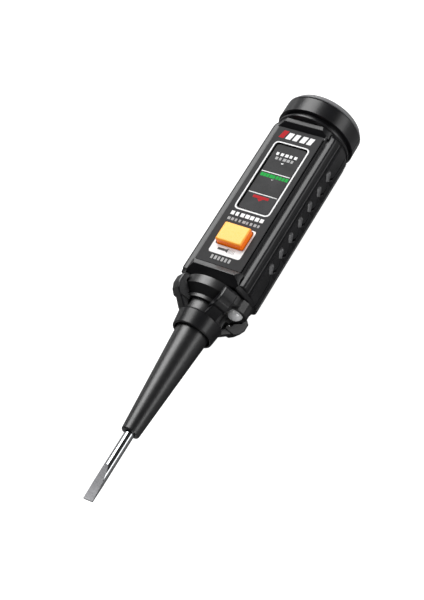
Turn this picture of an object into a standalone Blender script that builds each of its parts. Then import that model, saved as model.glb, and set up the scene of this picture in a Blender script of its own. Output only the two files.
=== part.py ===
"""Non-contact voltage tester pen with a screwdriver blade, built piece by piece.

Everything is modelled about the pen's own axis, which runs along +Y from the blade tip (y = 0) to
the end cap, with the label facing +Z.  One empty, PEN_FRAME, carries the whole pen so that it lies
on its back: the origin ends up under the middle of the pen, on the surface that it rests on.
"""
import bpy
import bmesh
from math import asin, cos, degrees, pi, radians, sin, sqrt
from mathutils import Vector

mm = 0.001

# ---------------------------------------------------------------- driving dimensions
OVERALL_LENGTH = 140.0 * mm
HEAD_RADIUS = 12.5 * mm
GAP = 0.3 * mm                      # clearance between pieces that meet or seat

# blade: a steel rod whose end is ground into a slotted tip
BLADE_RADIUS = 1.5 * mm
BLADE_EXPOSED = 22.2 * mm           # tip to the front of the sleeve
BLADE_END = 74.0 * mm
BLADE_TIP_HALF_THICKNESS = 0.28 * mm
BLADE_GROUND_LENGTH = 10.9 * mm

# tapered insulating sleeve
SLEEVE_FRONT_RADIUS = 2.75 * mm
SLEEVE_REAR_RADIUS = 5.25 * mm
SLEEVE_LENGTH = 37.8 * mm
SLEEVE_LIP = 0.4 * mm

# front collar: flared ring with four lugs that stop the pen rolling
COLLAR_FRONT = 56.7 * mm
COLLAR_LIP_RADIUS = 6.3 * mm
COLLAR_RIDGE = 61.6 * mm
COLLAR_RIDGE_RADIUS = 6.95 * mm
COLLAR_WEB = 1.3 * mm
LUG_RADIUS = 12.25 * mm
LUG_HALF_WIDTH = 2.25 * mm
LUG_COUNT = 4
LUG_STEM_SHARE = 0.86              # the stem is this much narrower than its lug
LUG_STEM_RADIUS = 9.5 * mm
LUG_STEP_RADIUS = 10.3 * mm
LUG_SHOULDER_RADIUS = 11.3 * mm
LUG_REAR_RADIUS = 11.2 * mm

# nose core: moulding that holds the blade and the torch LED
NOSE_HUB_RADIUS = 6.35 * mm
NOSE_STEP = 65.0 * mm
NOSE_STEP_RADIUS = 7.5 * mm
NOSE_CONE_START = 66.1 * mm
NOSE_RIM = 68.1 * mm
NECK_RADIUS = 10.0 * mm
NECK_END = 70.9 * mm
TENON_GROOVE_DEPTH = 1.0 * mm
TENON_END = 76.8 * mm

# torch LED
LED_RADIUS = 2.5 * mm
LED_OFFSET = 8.4 * mm               # from the pen axis, towards +X
LED_TIP = 65.4 * mm
LED_BASE = 69.9 * mm
LED_HOOD_WALL = 0.9 * mm
LED_HOOD_REACH = 0.9 * mm           # the hood starts this far in front of the neck's rim
LED_LEAD_PITCH = 2.54 * mm
LED_LEAD_RADIUS = 0.25 * mm
LED_LEAD_INSET = 4.6 * mm

# body shells
BODY_FRONT = 71.2 * mm
BODY_SHOULDER = 72.7 * mm
BODY_REAR = 130.4 * mm
BODY_RADIUS = 11.5 * mm
RIB_RADIUS = 12.4 * mm
VALLEY_RADIUS = 11.7 * mm
PANEL_X = 12.0 * mm
PANEL_HALF_HEIGHT = 3.9 * mm
PARTING_Z = -1.6 * mm
BACK_Z = -12.5 * mm
BACK_HALF_WIDTH = 4.5 * mm
CAVITY_RADIUS = 9.9 * mm
CEILING_WALL = 1.45 * mm
FRONT_WALL = 3.0 * mm
HEAD_START = 132.7 * mm
GROOVE_RADIUS = 11.1 * mm
COLLAR_BAND_RADIUS = 11.9 * mm

# label plate, window and button
PLATE_TOP = 8.65 * mm
PLATE_THICKNESS = 0.4 * mm
PLATE_HALF_WIDTH = 7.6 * mm
PLATE_FRONT = 75.9 * mm
PLATE_REAR = 127.5 * mm
LEDGE_RISE = 1.3 * mm               # the rear ledge stands this far above the plate
FRONT_LEDGE_RISE = 0.65 * mm        # and the front one this far
WINDOW_HALF_WIDTH = 5.3 * mm
WINDOW_FRONT = 96.4 * mm
WINDOW_REAR = 121.9 * mm
WINDOW_ZONES = (103.0 * mm, 111.0 * mm)
LENS_THICKNESS = 0.8 * mm
LENS_LEDGE = 0.6 * mm
BAFFLE_WALL = 0.8 * mm
BUTTON_HALF_WIDTH = 4.4 * mm
BUTTON_HALF_LENGTH = 3.3 * mm
BUTTON_Y = 86.1 * mm
BUTTON_TOP = 10.9 * mm
BUTTON_TRAVEL = 0.5 * mm
BUTTON_WALL = 0.8 * mm
BUTTON_FLANGE = 0.6 * mm

# circuit board and what is soldered to it
BOARD_HALF_WIDTH = 6.0 * mm
BOARD_BOTTOM = 3.2 * mm
BOARD_THICKNESS = 0.8 * mm
BOARD_FRONT = 82.0 * mm
BOARD_PAST_PLATE = 17.0 * mm        # the board runs on this far behind the spring plate
SWITCH_HALF = 2.2 * mm
SWITCH_HEIGHT = 2.6 * mm
PLUNGER_RADIUS = 1.2 * mm
PLUNGER_RISE = 1.0 * mm             # the plunger stands this far above the switch
CHIP_SIZE = (4.0 * mm, 5.0 * mm, 1.5 * mm)
CHIP_Y = 99.5 * mm
CAPACITOR_SIZE = (1.5 * mm, 3.0 * mm, 1.2 * mm)
CAPACITOR_X = 3.65 * mm
CHIP_RESISTOR_SIZE = (1.6 * mm, 0.9 * mm, 0.6 * mm)
CHIP_RESISTOR_X = -3.4 * mm
CHIP_RESISTOR_PLACES = (104.65 * mm, 106.85 * mm)
RESISTOR_RADIUS = 1.1 * mm
RESISTOR_LENGTH = 6.0 * mm
RESISTOR_X = -3.6 * mm
RESISTOR_START = 84.2 * mm
RESISTOR_LEAD_RADIUS = 0.25 * mm
RESISTOR_LEAD_REACH = 1.0 * mm
TIP_SPRING_RADIUS = 1.15 * mm
TIP_SPRING_TURNS = 3
TIP_SPRING_WIRE = 0.2 * mm
INDICATOR_SIZE = (2.0 * mm, 1.25 * mm, 0.8 * mm)

# battery stack
CELL_RADIUS = 5.8 * mm
CELL_HEIGHT = 5.4 * mm
CELL_COUNT = 3
CRADLE_WALL = 0.5 * mm
CRADLE_FRONT_WALL = 1.2 * mm
CRADLE_ANGLES = (190.0, 350.0)      # the trough's arc, in degrees round the cells
CELL_CROWN_INSET = 1.2 * mm
SPRING_LENGTH = 3.2 * mm
SPRING_WIRE = 0.3 * mm
SPRING_TURNS = 3
SPRING_INSET = 1.6 * mm             # the spring's wide end is this much smaller than a cell
SPRING_SMALL_RADIUS = 2.0 * mm
SPRING_PLATE_INSET = 1.8 * mm       # and the plate's sides lie this far inside a cell's edge
STRIP_WIDTH = 2.2 * mm

# end cap
CAP_THICKNESS = 2.0 * mm
CAP_FACE_RADIUS = 11.3 * mm
CAP_SKIRT_RADIUS = 9.3 * mm
CAP_SKIRT_WALL = 1.7 * mm
CAP_SKIRT_LENGTH = 6.2 * mm
CAP_POST_RADIUS = 3.0 * mm
CAP_FLOOR_DEPTH = 0.8 * mm
SEAL_SECTION = 0.8 * mm
COIN_SLOT = (15.0 * mm, 1.8 * mm, 1.0 * mm)   # length, width, depth

# shell screws
SCREW_RADIUS = 0.9 * mm
SCREW_HEAD_RADIUS = 1.6 * mm
SCREW_PLACES = (79.3 * mm, 93.2 * mm)
BOSS_WALL = 0.9 * mm
SCREW_SEAT_DEPTH = 3.4 * mm
SCREW_HEAD_HEIGHT = 1.1 * mm

# ---------------------------------------------------------------- values that follow
FLAT_Z = PLATE_TOP - PLATE_THICKNESS - GAP
CEILING_Z = FLAT_Z - CEILING_WALL
TENON_RADIUS = CEILING_Z - GAP      # the nose's tenon just clears the bay's ceiling
BOARD_TOP = BOARD_BOTTOM + BOARD_THICKNESS
SLEEVE_FRONT = BLADE_EXPOSED
SLEEVE_END = SLEEVE_FRONT + SLEEVE_LENGTH
BORE_RADIUS = BLADE_RADIUS + GAP
CAP_BASE = OVERALL_LENGTH - CAP_THICKNESS
HEAD_END = CAP_BASE - GAP
CAP_SKIRT_START = CAP_BASE - CAP_SKIRT_LENGTH
CONTACT_THICKNESS = GAP
CONTACT_START = CAP_SKIRT_START - GAP - CONTACT_THICKNESS
CELL_PITCH = CELL_HEIGHT + GAP
STACK_END = CONTACT_START - GAP
STACK_START = STACK_END - CELL_COUNT * CELL_PITCH + GAP
CELL_Z = CELL_RADIUS + GAP + CRADLE_WALL + GAP - CAVITY_RADIUS    # the trough lies on the rear shell
SPRING_PLATE_REACH = CELL_RADIUS - SPRING_PLATE_INSET
SPRING_WIDE_RADIUS = CELL_RADIUS - SPRING_INSET
SPRING_PLATE_Y = STACK_START - GAP - SPRING_LENGTH - GAP - CONTACT_THICKNESS
BOARD_REAR = SPRING_PLATE_Y + BOARD_PAST_PLATE
SCREW_SEAT_Z = BACK_Z + SCREW_SEAT_DEPTH
SWITCH_TOP = BOARD_TOP + GAP + SWITCH_HEIGHT
PLUNGER_TOP = SWITCH_TOP + PLUNGER_RISE

SEGMENTS = 40


# ---------------------------------------------------------------- modelling helpers
def clear_scene():
    for item in list(bpy.data.objects):
        bpy.data.objects.remove(item, do_unlink=True)


def material(name, colour, roughness, metallic=0.0, alpha=1.0):
    """A Principled material in the piece's own colour."""
    surface = bpy.data.materials.get(name) or bpy.data.materials.new(name)
    surface.use_nodes = True
    shader = surface.node_tree.nodes["Principled BSDF"]
    shader.inputs["Base Color"].default_value = (*colour, 1.0)
    shader.inputs["Roughness"].default_value = roughness
    shader.inputs["Metallic"].default_value = metallic
    shader.inputs["Alpha"].default_value = alpha
    return surface


def make_object(name, mesh_data, surface=None, parent=None, smooth=None):
    """Turn a bmesh into an object on the pen frame, with all its faces pointing out."""
    bmesh.ops.recalc_face_normals(mesh_data, faces=mesh_data.faces)
    mesh = bpy.data.meshes.new(name)
    mesh_data.to_mesh(mesh)
    mesh_data.free()
    if smooth is not None:
        mesh.shade_smooth()
        mesh.set_sharp_from_angle(angle=radians(smooth))
    piece = bpy.data.objects.new(name, mesh)
    bpy.context.collection.objects.link(piece)
    piece.parent = parent or PEN_FRAME
    if surface is not None:
        mesh.materials.append(surface)
    return piece


def turned(name, outline, surface=None, centre=(0.0, 0.0), segments=SEGMENTS, smooth=40, parent=None):
    """Turn a closed outline of (y, radius) points about a line along Y through centre (x, z)."""
    mesh_data = bmesh.new()
    rings = []
    for y, radius in outline:
        if radius == 0.0:
            rings.append([mesh_data.verts.new((centre[0], y, centre[1]))] * segments)
            continue
        ring = []
        for step in range(segments):
            angle = 2.0 * pi * step / segments
            place = (centre[0] + radius * cos(angle), y, centre[1] + radius * sin(angle))
            ring.append(mesh_data.verts.new(place))
        rings.append(ring)
    for index, ring in enumerate(rings):
        following = rings[(index + 1) % len(rings)]
        for step in range(segments):
            beside = (step + 1) % segments
            corners = []
            for vertex in (ring[step], ring[beside], following[beside], following[step]):
                if vertex not in corners:
                    corners.append(vertex)
            if len(corners) > 2:
                mesh_data.faces.new(corners)
    return make_object(name, mesh_data, surface, parent, smooth)


def lofted(name, sections, surface=None, smooth=None, parent=None):
    """Join closed sections, each a list of points with the same count, and close both ends."""
    mesh_data = bmesh.new()
    rings = []
    for section in sections:
        rings.append([mesh_data.verts.new(point) for point in section])
    for ring, following in zip(rings, rings[1:]):
        for step in range(len(ring)):
            beside = (step + 1) % len(ring)
            mesh_data.faces.new((ring[step], ring[beside], following[beside], following[step]))
    mesh_data.faces.new(rings[0])
    mesh_data.faces.new(rings[-1])
    return make_object(name, mesh_data, surface, parent, smooth)


def block(name, low, high, surface=None, chamfer=0.0, parent=None):
    """A rectangular block between two corners, its upright edges chamfered if asked."""
    (x0, y0, z0), (x1, y1, z1) = low, high
    c = chamfer
    if c:
        plan = [(x0 + c, y0), (x1 - c, y0), (x1, y0 + c), (x1, y1 - c)]
        plan += [(x1 - c, y1), (x0 + c, y1), (x0, y1 - c), (x0, y0 + c)]
    else:
        plan = [(x0, y0), (x1, y0), (x1, y1), (x0, y1)]
    sections = [[(x, y, z) for x, y in plan] for z in (z0, z1)]
    return lofted(name, sections, surface, parent=parent)


def wire(name, route, radius, surface=None, sides=8):
    """A round wire along a list of points, closed at both ends."""
    points = [Vector(point) for point in route]
    sections = []
    side = None
    for index, point in enumerate(points):
        before = points[max(index - 1, 0)]
        after = points[min(index + 1, len(points) - 1)]
        along = (after - before).normalized()
        if side is None:
            side = along.orthogonal().normalized()
        side = (side - along * side.dot(along)).normalized()
        up = along.cross(side)
        ring = []
        for step in range(sides):
            angle = 2.0 * pi * step / sides
            ring.append(point + side * (radius * cos(angle)) + up * (radius * sin(angle)))
        sections.append(ring)
    return lofted(name, sections, surface, smooth=40)


def combine(piece, tool, operation):
    """Cut the piece with a tool, or join the tool to it; the tool is kept as a hidden guide."""
    step = piece.modifiers.new(operation.lower(), "BOOLEAN")
    step.operation = operation
    step.solver = "EXACT"
    step.object = tool
    tool.hide_render = True
    tool.display_type = "WIRE"


def cut(piece, tool):
    combine(piece, tool, "DIFFERENCE")


def join(piece, tool):
    combine(piece, tool, "UNION")


def upright_cylinder(name, x, y, z0, z1, radius, segments=24, surface=None):
    """A round post along Z."""
    circle = []
    for step in range(segments):
        angle = 2.0 * pi * step / segments
        circle.append((x + radius * cos(angle), y + radius * sin(angle)))
    sections = [[(px, py, z) for px, py in circle] for z in (z0, z1)]
    return lofted(name, sections, surface, smooth=40)


# ---------------------------------------------------------------- materials
def palette():
    return {
        "steel": material("ground_steel", (0.56, 0.57, 0.58), 0.22, 1.0),
        "gloss": material("gloss_black", (0.012, 0.012, 0.013), 0.16),
        "satin": material("satin_black", (0.022, 0.022, 0.024), 0.35),
        "plate": material("plate_grey", (0.075, 0.075, 0.078), 0.45),
        "cap": material("cap_grey", (0.13, 0.13, 0.135), 0.35),
        "clear": material("clear_epoxy", (0.92, 0.94, 0.96), 0.05, 0.0, 0.5),
        "smoke": material("smoked_lens", (0.05, 0.05, 0.055), 0.08),
        "baffle": material("baffle_black", (0.03, 0.03, 0.03), 0.6),
        "amber": material("amber_button", (0.95, 0.42, 0.05), 0.3),
        "board": material("board_green", (0.02, 0.14, 0.06), 0.5),
        "ceramic": material("chip_body", (0.03, 0.03, 0.035), 0.5),
        "resistor": material("resistor_lacquer", (0.55, 0.42, 0.24), 0.4),
        "capacitor": material("capacitor_body", (0.7, 0.52, 0.12), 0.45),
        "white_led": material("white_led", (0.9, 0.88, 0.7), 0.25),
        "green_led": material("green_led", (0.1, 0.75, 0.25), 0.25),
        "red_led": material("red_led", (0.8, 0.06, 0.05), 0.25),
        "nickel": material("nickel", (0.68, 0.66, 0.62), 0.25, 1.0),
        "cell": material("cell_steel", (0.72, 0.72, 0.72), 0.2, 1.0),
        "rubber": material("seal_rubber", (0.02, 0.02, 0.02), 0.7),
        "cradle": material("cradle_plastic", (0.3, 0.3, 0.31), 0.5),
        "screw": material("zinc_screw", (0.6, 0.6, 0.62), 0.3, 1.0),
    }


# ---------------------------------------------------------------- front end
def build_blade():
    rod = turned("blade", [
        (0.0, 0.0),
        (0.0, BLADE_RADIUS),
        (BLADE_END - GAP, BLADE_RADIUS),
        (BLADE_END, BLADE_RADIUS - GAP),
        (BLADE_END, 0.0),
    ], M["steel"], segments=32)
    reach = 2.0 * BLADE_RADIUS
    for side in (1, -1):
        wedge = [
            (-reach, -reach, side * BLADE_TIP_HALF_THICKNESS * 0.6),
            (-reach, BLADE_GROUND_LENGTH, side * BLADE_RADIUS),
            (-reach, BLADE_GROUND_LENGTH, side * reach),
            (-reach, -reach, side * reach),
        ]
        far = [(reach, y, z) for x, y, z in wedge]
        cut(rod, lofted(f"blade_grind_{'top' if side > 0 else 'bottom'}", [wedge, far]))
    return rod


def build_sleeve():
    return turned("taper_sleeve", [
        (SLEEVE_FRONT, BORE_RADIUS),
        (SLEEVE_FRONT, SLEEVE_FRONT_RADIUS - SLEEVE_LIP),
        (SLEEVE_FRONT + SLEEVE_LIP, SLEEVE_FRONT_RADIUS),
        (SLEEVE_END, SLEEVE_REAR_RADIUS),
        (SLEEVE_END, BORE_RADIUS),
    ], M["gloss"])


def lug_section(y, inner, outer, half_width, bevel, angle):
    """One station of a lug, turned to its place round the pen."""
    profile = [
        (-half_width, inner),
        (half_width, inner),
        (half_width, outer - bevel),
        (half_width - bevel, outer),
        (-half_width + bevel, outer),
        (-half_width, outer - bevel),
    ]
    points = []
    for across, out in profile:
        x = out * sin(angle) + across * cos(angle)
        z = out * cos(angle) - across * sin(angle)
        points.append((x, y, z))
    return points


def build_collar():
    ring = turned("front_collar", [
        (COLLAR_FRONT, SLEEVE_REAR_RADIUS + GAP),
        (COLLAR_FRONT, COLLAR_LIP_RADIUS),
        (COLLAR_RIDGE, COLLAR_RIDGE_RADIUS),
        (COLLAR_RIDGE, BORE_RADIUS),
        (COLLAR_RIDGE - COLLAR_WEB, BORE_RADIUS),
        (COLLAR_RIDGE - COLLAR_WEB, SLEEVE_REAR_RADIUS + GAP),
    ], M["satin"])
    stem_inner = NOSE_HUB_RADIUS + 1.3 * GAP
    neck_clear = NECK_RADIUS + GAP
    step_clear = NOSE_STEP_RADIUS + 2.0 * GAP
    wide = LUG_HALF_WIDTH
    for index in range(LUG_COUNT):
        angle = radians(45.0 + index * 360.0 / LUG_COUNT)
        root = sqrt(COLLAR_RIDGE_RADIUS ** 2 - wide ** 2) - GAP
        rim = COLLAR_RIDGE_RADIUS + GAP
        bevel = 1.3 * GAP
        stations = [
            (COLLAR_RIDGE - 2.0 * GAP, root - 5.0 * GAP, root, wide),
            (COLLAR_RIDGE - 0.5 * GAP, stem_inner, rim, wide),
            (COLLAR_RIDGE + 7.0 * GAP, stem_inner, LUG_STEM_RADIUS, wide * LUG_STEM_SHARE),
            (COLLAR_RIDGE + 8.0 * GAP, stem_inner, LUG_STEP_RADIUS, wide),
            (NOSE_STEP - GAP, step_clear, LUG_SHOULDER_RADIUS, wide),
            (NOSE_RIM - 4.0 * GAP, neck_clear - GAP, LUG_RADIUS, wide),
            (NECK_END - 6.0 * GAP, neck_clear, LUG_RADIUS, wide),
            (NECK_END - 2.0 * GAP, neck_clear, LUG_REAR_RADIUS, wide * LUG_STEM_SHARE),
        ]
        sections = []
        for y, inner, outer, half_width in stations:
            sections.append(lug_section(y, inner, outer, half_width, bevel, angle))
        join(ring, lofted(f"lug_{index + 1}", sections))
    return ring


def build_nose():
    core = turned("nose_core", [
        (COLLAR_RIDGE + GAP, BORE_RADIUS),
        (COLLAR_RIDGE + GAP, NOSE_HUB_RADIUS),
        (NOSE_STEP, NOSE_HUB_RADIUS),
        (NOSE_STEP, NOSE_STEP_RADIUS),
        (NOSE_CONE_START, NOSE_STEP_RADIUS),
        (NOSE_CONE_START + GAP, NOSE_STEP_RADIUS + GAP),
        (NOSE_RIM, NECK_RADIUS),
        (NECK_END, NECK_RADIUS),
        (NECK_END, TENON_RADIUS),
        (BODY_FRONT + GAP, TENON_RADIUS),
        (BODY_FRONT + GAP, TENON_RADIUS - TENON_GROOVE_DEPTH),
        (BODY_FRONT + FRONT_WALL, TENON_RADIUS - TENON_GROOVE_DEPTH),
        (BODY_FRONT + FRONT_WALL, TENON_RADIUS),
        (TENON_END, TENON_RADIUS),
        (TENON_END, BORE_RADIUS),
    ], M["gloss"])
    seat = LED_RADIUS + GAP
    hood = turned("led_hood", [
        (NOSE_RIM - LED_HOOD_REACH, 0.0),
        (NOSE_RIM - LED_HOOD_REACH, seat + LED_HOOD_WALL),
        (NECK_END, seat + LED_HOOD_WALL),
        (NECK_END, 0.0),
    ], centre=(LED_OFFSET, 0.0), segments=12)
    hood.data.shade_flat()
    join(core, hood)
    cut(core, turned("led_seat", [
        (LED_TIP - LED_RADIUS, 0.0),
        (LED_TIP - LED_RADIUS, seat),
        (LED_BASE + GAP, seat),
        (LED_BASE + GAP, 0.0),
    ], centre=(LED_OFFSET, 0.0), segments=24))
    lead_room = LED_LEAD_PITCH / 2.0 + LED_LEAD_RADIUS + GAP
    lead_side = LED_LEAD_RADIUS + GAP
    cut(core, block("lead_pocket",
                    (LED_LEAD_INSET - lead_side, LED_BASE, -lead_room),
                    (LED_OFFSET + lead_side, NECK_END + GAP, lead_room)))
    cut(core, block("lead_slot",
                    (LED_LEAD_INSET - lead_side, LED_BASE + GAP, -lead_room),
                    (LED_LEAD_INSET + lead_side, TENON_END + GAP, lead_room)))
    return core


def build_torch_led():
    """The clear torch LED with its two leads, which bend in towards the board."""
    dome = []
    for step in range(7):
        angle = 0.5 * pi * step / 6.0
        dome.append((LED_TIP + LED_RADIUS * (1.0 - cos(angle)), LED_RADIUS * sin(angle)))
    turned("torch_led", dome + [(LED_BASE, LED_RADIUS), (LED_BASE, 0.0)],
           M["clear"], centre=(LED_OFFSET, 0.0), segments=28)
    bend_y = LED_BASE + GAP + LED_LEAD_RADIUS
    for name, side in (("torch_lead_anode", 1), ("torch_lead_cathode", -1)):
        z = side * LED_LEAD_PITCH / 2.0
        turn = LED_LEAD_RADIUS
        route = [
            (LED_OFFSET - turn, LED_BASE + GAP + 0.05 * mm + LED_LEAD_RADIUS, z),
            (LED_LEAD_INSET + turn, bend_y, z),
            (LED_LEAD_INSET, bend_y + turn, z),
            (LED_LEAD_INSET, BOARD_FRONT - GAP, z),
        ]
        wire(name, route, LED_LEAD_RADIUS, M["nickel"])


# ---------------------------------------------------------------- body shells
def arc_point(radius, angle_deg):
    return radius * cos(radians(angle_deg)), radius * sin(radians(angle_deg))


def upper_half(form, radius, flat_z, parting):
    """Right-hand outline of the front shell, from the middle of the label down to the parting."""
    edge = degrees(asin(FLAT_Z / BODY_RADIUS))
    points = []
    top_radius = BODY_RADIUS if form == "body" else radius
    for step in range(5):
        angle = 90.0 - step * (90.0 - edge) / 4.0
        x, z = arc_point(top_radius, angle)
        points.append((x, min(z, flat_z)))
    if form == "body":
        shrink = radius / RIB_RADIUS
        points.append(arc_point(RIB_RADIUS * shrink - GAP, 39.0))
        points.append(arc_point(RIB_RADIUS * shrink, 34.0))
        points.append(arc_point(RIB_RADIUS * shrink - GAP, 29.0))
        points.append(arc_point(VALLEY_RADIUS * shrink, 24.0))
        points.append((PANEL_X * shrink, PANEL_HALF_HEIGHT))
        points.append((PANEL_X * shrink - GAP, PANEL_HALF_HEIGHT - GAP))
        points.append((PANEL_X * shrink - GAP, parting))
    else:
        for angle in (39.0, 34.0, 29.0, 24.0, 18.0, 15.0):
            points.append(arc_point(radius, angle))
        points.append((sqrt(radius ** 2 - parting ** 2), parting))
    return points


def lower_half(form, radius, parting):
    """Right-hand outline of the rear shell, from the parting down to the middle of the back."""
    points = []
    if form == "body":
        shrink = radius / RIB_RADIUS
        back = BACK_Z * (1.0 if shrink == 1.0 else shrink)
        points.append((PANEL_X * shrink - GAP, parting))
        points.append((PANEL_X * shrink - GAP, GAP - PANEL_HALF_HEIGHT))
        points.append((PANEL_X * shrink, -PANEL_HALF_HEIGHT))
        points.append(arc_point(VALLEY_RADIUS * shrink, -24.0))
        points.append(arc_point(RIB_RADIUS * shrink - GAP, -29.0))
        points.append(arc_point(RIB_RADIUS * shrink, -34.0))
        points.append(arc_point(RIB_RADIUS * shrink - GAP, -39.0))
        points.append(arc_point(BODY_RADIUS * shrink, -45.0))
        points.append((BACK_HALF_WIDTH * shrink, back))
        points.append((0.0, back))
    else:
        points.append((sqrt(radius ** 2 - parting ** 2), parting))
        for angle in (-16.0, -19.0, -24.0, -29.0, -34.0, -39.0, -45.0, -68.0, -90.0):
            points.append(arc_point(radius, angle))
    return points


def shell_stations():
    """Stations along the body: place, kind of section, its radius and the height of its flat."""
    ledge = PLATE_TOP + LEDGE_RISE
    front_ledge = PLATE_TOP + FRONT_LEDGE_RISE
    clear = 2.0 * HEAD_RADIUS
    ramp = PLATE_TOP - FLAT_Z + LEDGE_RISE
    return [
        (BODY_FRONT, "round", BODY_RADIUS - GAP, FLAT_Z),
        (BODY_SHOULDER - GAP, "round", BODY_RADIUS, FLAT_Z),
        (BODY_SHOULDER, "body", RIB_RADIUS - GAP, FLAT_Z),
        (BODY_SHOULDER + 2.0 * GAP, "body", RIB_RADIUS, FLAT_Z),
        (PLATE_FRONT - ramp - GAP, "body", RIB_RADIUS, FLAT_Z + GAP),
        (PLATE_FRONT - ramp + GAP, "body", RIB_RADIUS, front_ledge),
        (PLATE_FRONT - GAP, "body", RIB_RADIUS, FLAT_Z),
        (PLATE_REAR + GAP, "body", RIB_RADIUS, FLAT_Z),
        (PLATE_REAR + ramp, "body", RIB_RADIUS, ledge - 2.0 * GAP),
        (BODY_REAR - 2.0 * GAP, "body", RIB_RADIUS, ledge),
        (BODY_REAR, "body", RIB_RADIUS - 2.0 * GAP, ledge),
        (BODY_REAR + GAP, "round", COLLAR_BAND_RADIUS, clear),
        (BODY_REAR + 3.0 * GAP, "round", COLLAR_BAND_RADIUS, clear),
        (BODY_REAR + 4.0 * GAP, "round", GROOVE_RADIUS, clear),
        (HEAD_START - GAP, "round", GROOVE_RADIUS, clear),
        (HEAD_START, "round", HEAD_RADIUS, clear),
        (HEAD_END, "round", HEAD_RADIUS, clear),
    ]


def mirrored(points, y):
    """Close a right-hand outline with its mirror image, as points at one station."""
    left = [(-x, z) for x, z in reversed(points) if x > GAP / 10.0]
    return [(x, y, z) for x, z in points + left]


def inner_space():
    """The room inside both shells: the nose seat, the electronics bay and the cap's bore."""
    seat = TENON_RADIUS + GAP
    lock = TENON_RADIUS - TENON_GROOVE_DEPTH + GAP
    bay = BODY_FRONT + FRONT_WALL
    tall = 2.0 * HEAD_RADIUS
    stations = [
        (BODY_FRONT - GAP, seat, tall),
        (BODY_FRONT + 2.0 * GAP, seat, tall),
        (BODY_FRONT + 2.1 * GAP, lock, tall),
        (bay - 1.1 * GAP, lock, tall),
        (bay - GAP, CAVITY_RADIUS, CEILING_Z),
        (BODY_REAR - GAP, CAVITY_RADIUS, CEILING_Z),
        (BODY_REAR, CAVITY_RADIUS, tall),
        (HEAD_END + GAP, CAVITY_RADIUS, tall),
    ]
    sections = []
    for y, radius, ceiling in stations:
        section = []
        for step in range(SEGMENTS):
            angle = 2.0 * pi * step / SEGMENTS
            section.append((radius * cos(angle), y, min(radius * sin(angle), ceiling)))
        sections.append(section)
    return lofted("inner_space", sections)


def screw_boss(name, y, z0, z1):
    return upright_cylinder(name, 0.0, y, z0, z1, SCREW_RADIUS + GAP + BOSS_WALL)


def build_shells():
    room = inner_space()
    seam = GAP / 2.0
    upper = []
    lower = []
    for y, form, radius, flat_z in shell_stations():
        upper.append(mirrored(upper_half(form, radius, flat_z, PARTING_Z + seam), y))
        lower.append(mirrored(lower_half(form, radius, PARTING_Z - seam), y))
    front = lofted("front_shell", upper, M["satin"], smooth=25)
    rear = lofted("rear_shell", lower, M["satin"], smooth=25)
    cut(front, room)
    cut(rear, room)

    for index, y in enumerate(SCREW_PLACES):
        number = index + 1
        join(front, screw_boss(f"front_boss_{number}", y, PARTING_Z + seam, CEILING_Z + GAP))
        hole = SCREW_RADIUS + GAP
        cut(front, upright_cylinder(f"front_thread_{number}", 0.0, y,
                                    PARTING_Z - GAP, CEILING_Z - GAP, hole, 20))
        join(rear, screw_boss(f"rear_boss_{number}", y, -CAVITY_RADIUS - GAP, PARTING_Z - seam))
        cut(rear, upright_cylinder(f"rear_hole_{number}", 0.0, y, BACK_Z - GAP, PARTING_Z + GAP, hole, 20))
        recess = SCREW_HEAD_RADIUS + GAP
        cut(rear, upright_cylinder(f"head_recess_{number}", 0.0, y, BACK_Z - GAP, SCREW_SEAT_Z, recess, 20))

    low = (-WINDOW_HALF_WIDTH, WINDOW_FRONT, CEILING_Z + 2.0 * GAP)
    high = (WINDOW_HALF_WIDTH, WINDOW_REAR, PLATE_TOP + 2.0 * LEDGE_RISE)
    cut(front, block("lens_seat", low, high, chamfer=3.0 * GAP))
    low = (-WINDOW_HALF_WIDTH + LENS_LEDGE, WINDOW_FRONT + LENS_LEDGE, CEILING_Z - GAP)
    high = (WINDOW_HALF_WIDTH - LENS_LEDGE, WINDOW_REAR - LENS_LEDGE, PLATE_TOP)
    cut(front, block("light_well", low, high, chamfer=2.0 * GAP))
    half_x = BUTTON_HALF_WIDTH + GAP
    half_y = BUTTON_HALF_LENGTH + GAP
    cut(front, block("button_opening",
                     (-half_x, BUTTON_Y - half_y, CEILING_Z - GAP),
                     (half_x, BUTTON_Y + half_y, PLATE_TOP + LEDGE_RISE), chamfer=2.0 * GAP))


def build_shell_screws():
    for index, y in enumerate(SCREW_PLACES):
        screw = upright_cylinder(f"shell_screw_{index + 1}", 0.0, y,
                                 SCREW_SEAT_Z - GAP - SCREW_HEAD_HEIGHT, SCREW_SEAT_Z - GAP,
                                 SCREW_HEAD_RADIUS, 20, M["screw"])
        shank = upright_cylinder(f"screw_shank_{index + 1}", 0.0, y,
                                 SCREW_SEAT_Z - 1.0 * mm, CEILING_Z - 3.0 * GAP, SCREW_RADIUS, 16)
        join(screw, shank)
        slot = SCREW_HEAD_RADIUS * 0.75
        for name, size_x, size_y in (("a", slot, GAP), ("b", GAP, slot)):
            cut(screw, block(f"screw_cross_{index + 1}{name}",
                             (-size_x, y - size_y, SCREW_SEAT_Z - 2.0 * mm),
                             (size_x, y + size_y, SCREW_SEAT_Z - 0.8 * mm)))


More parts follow.
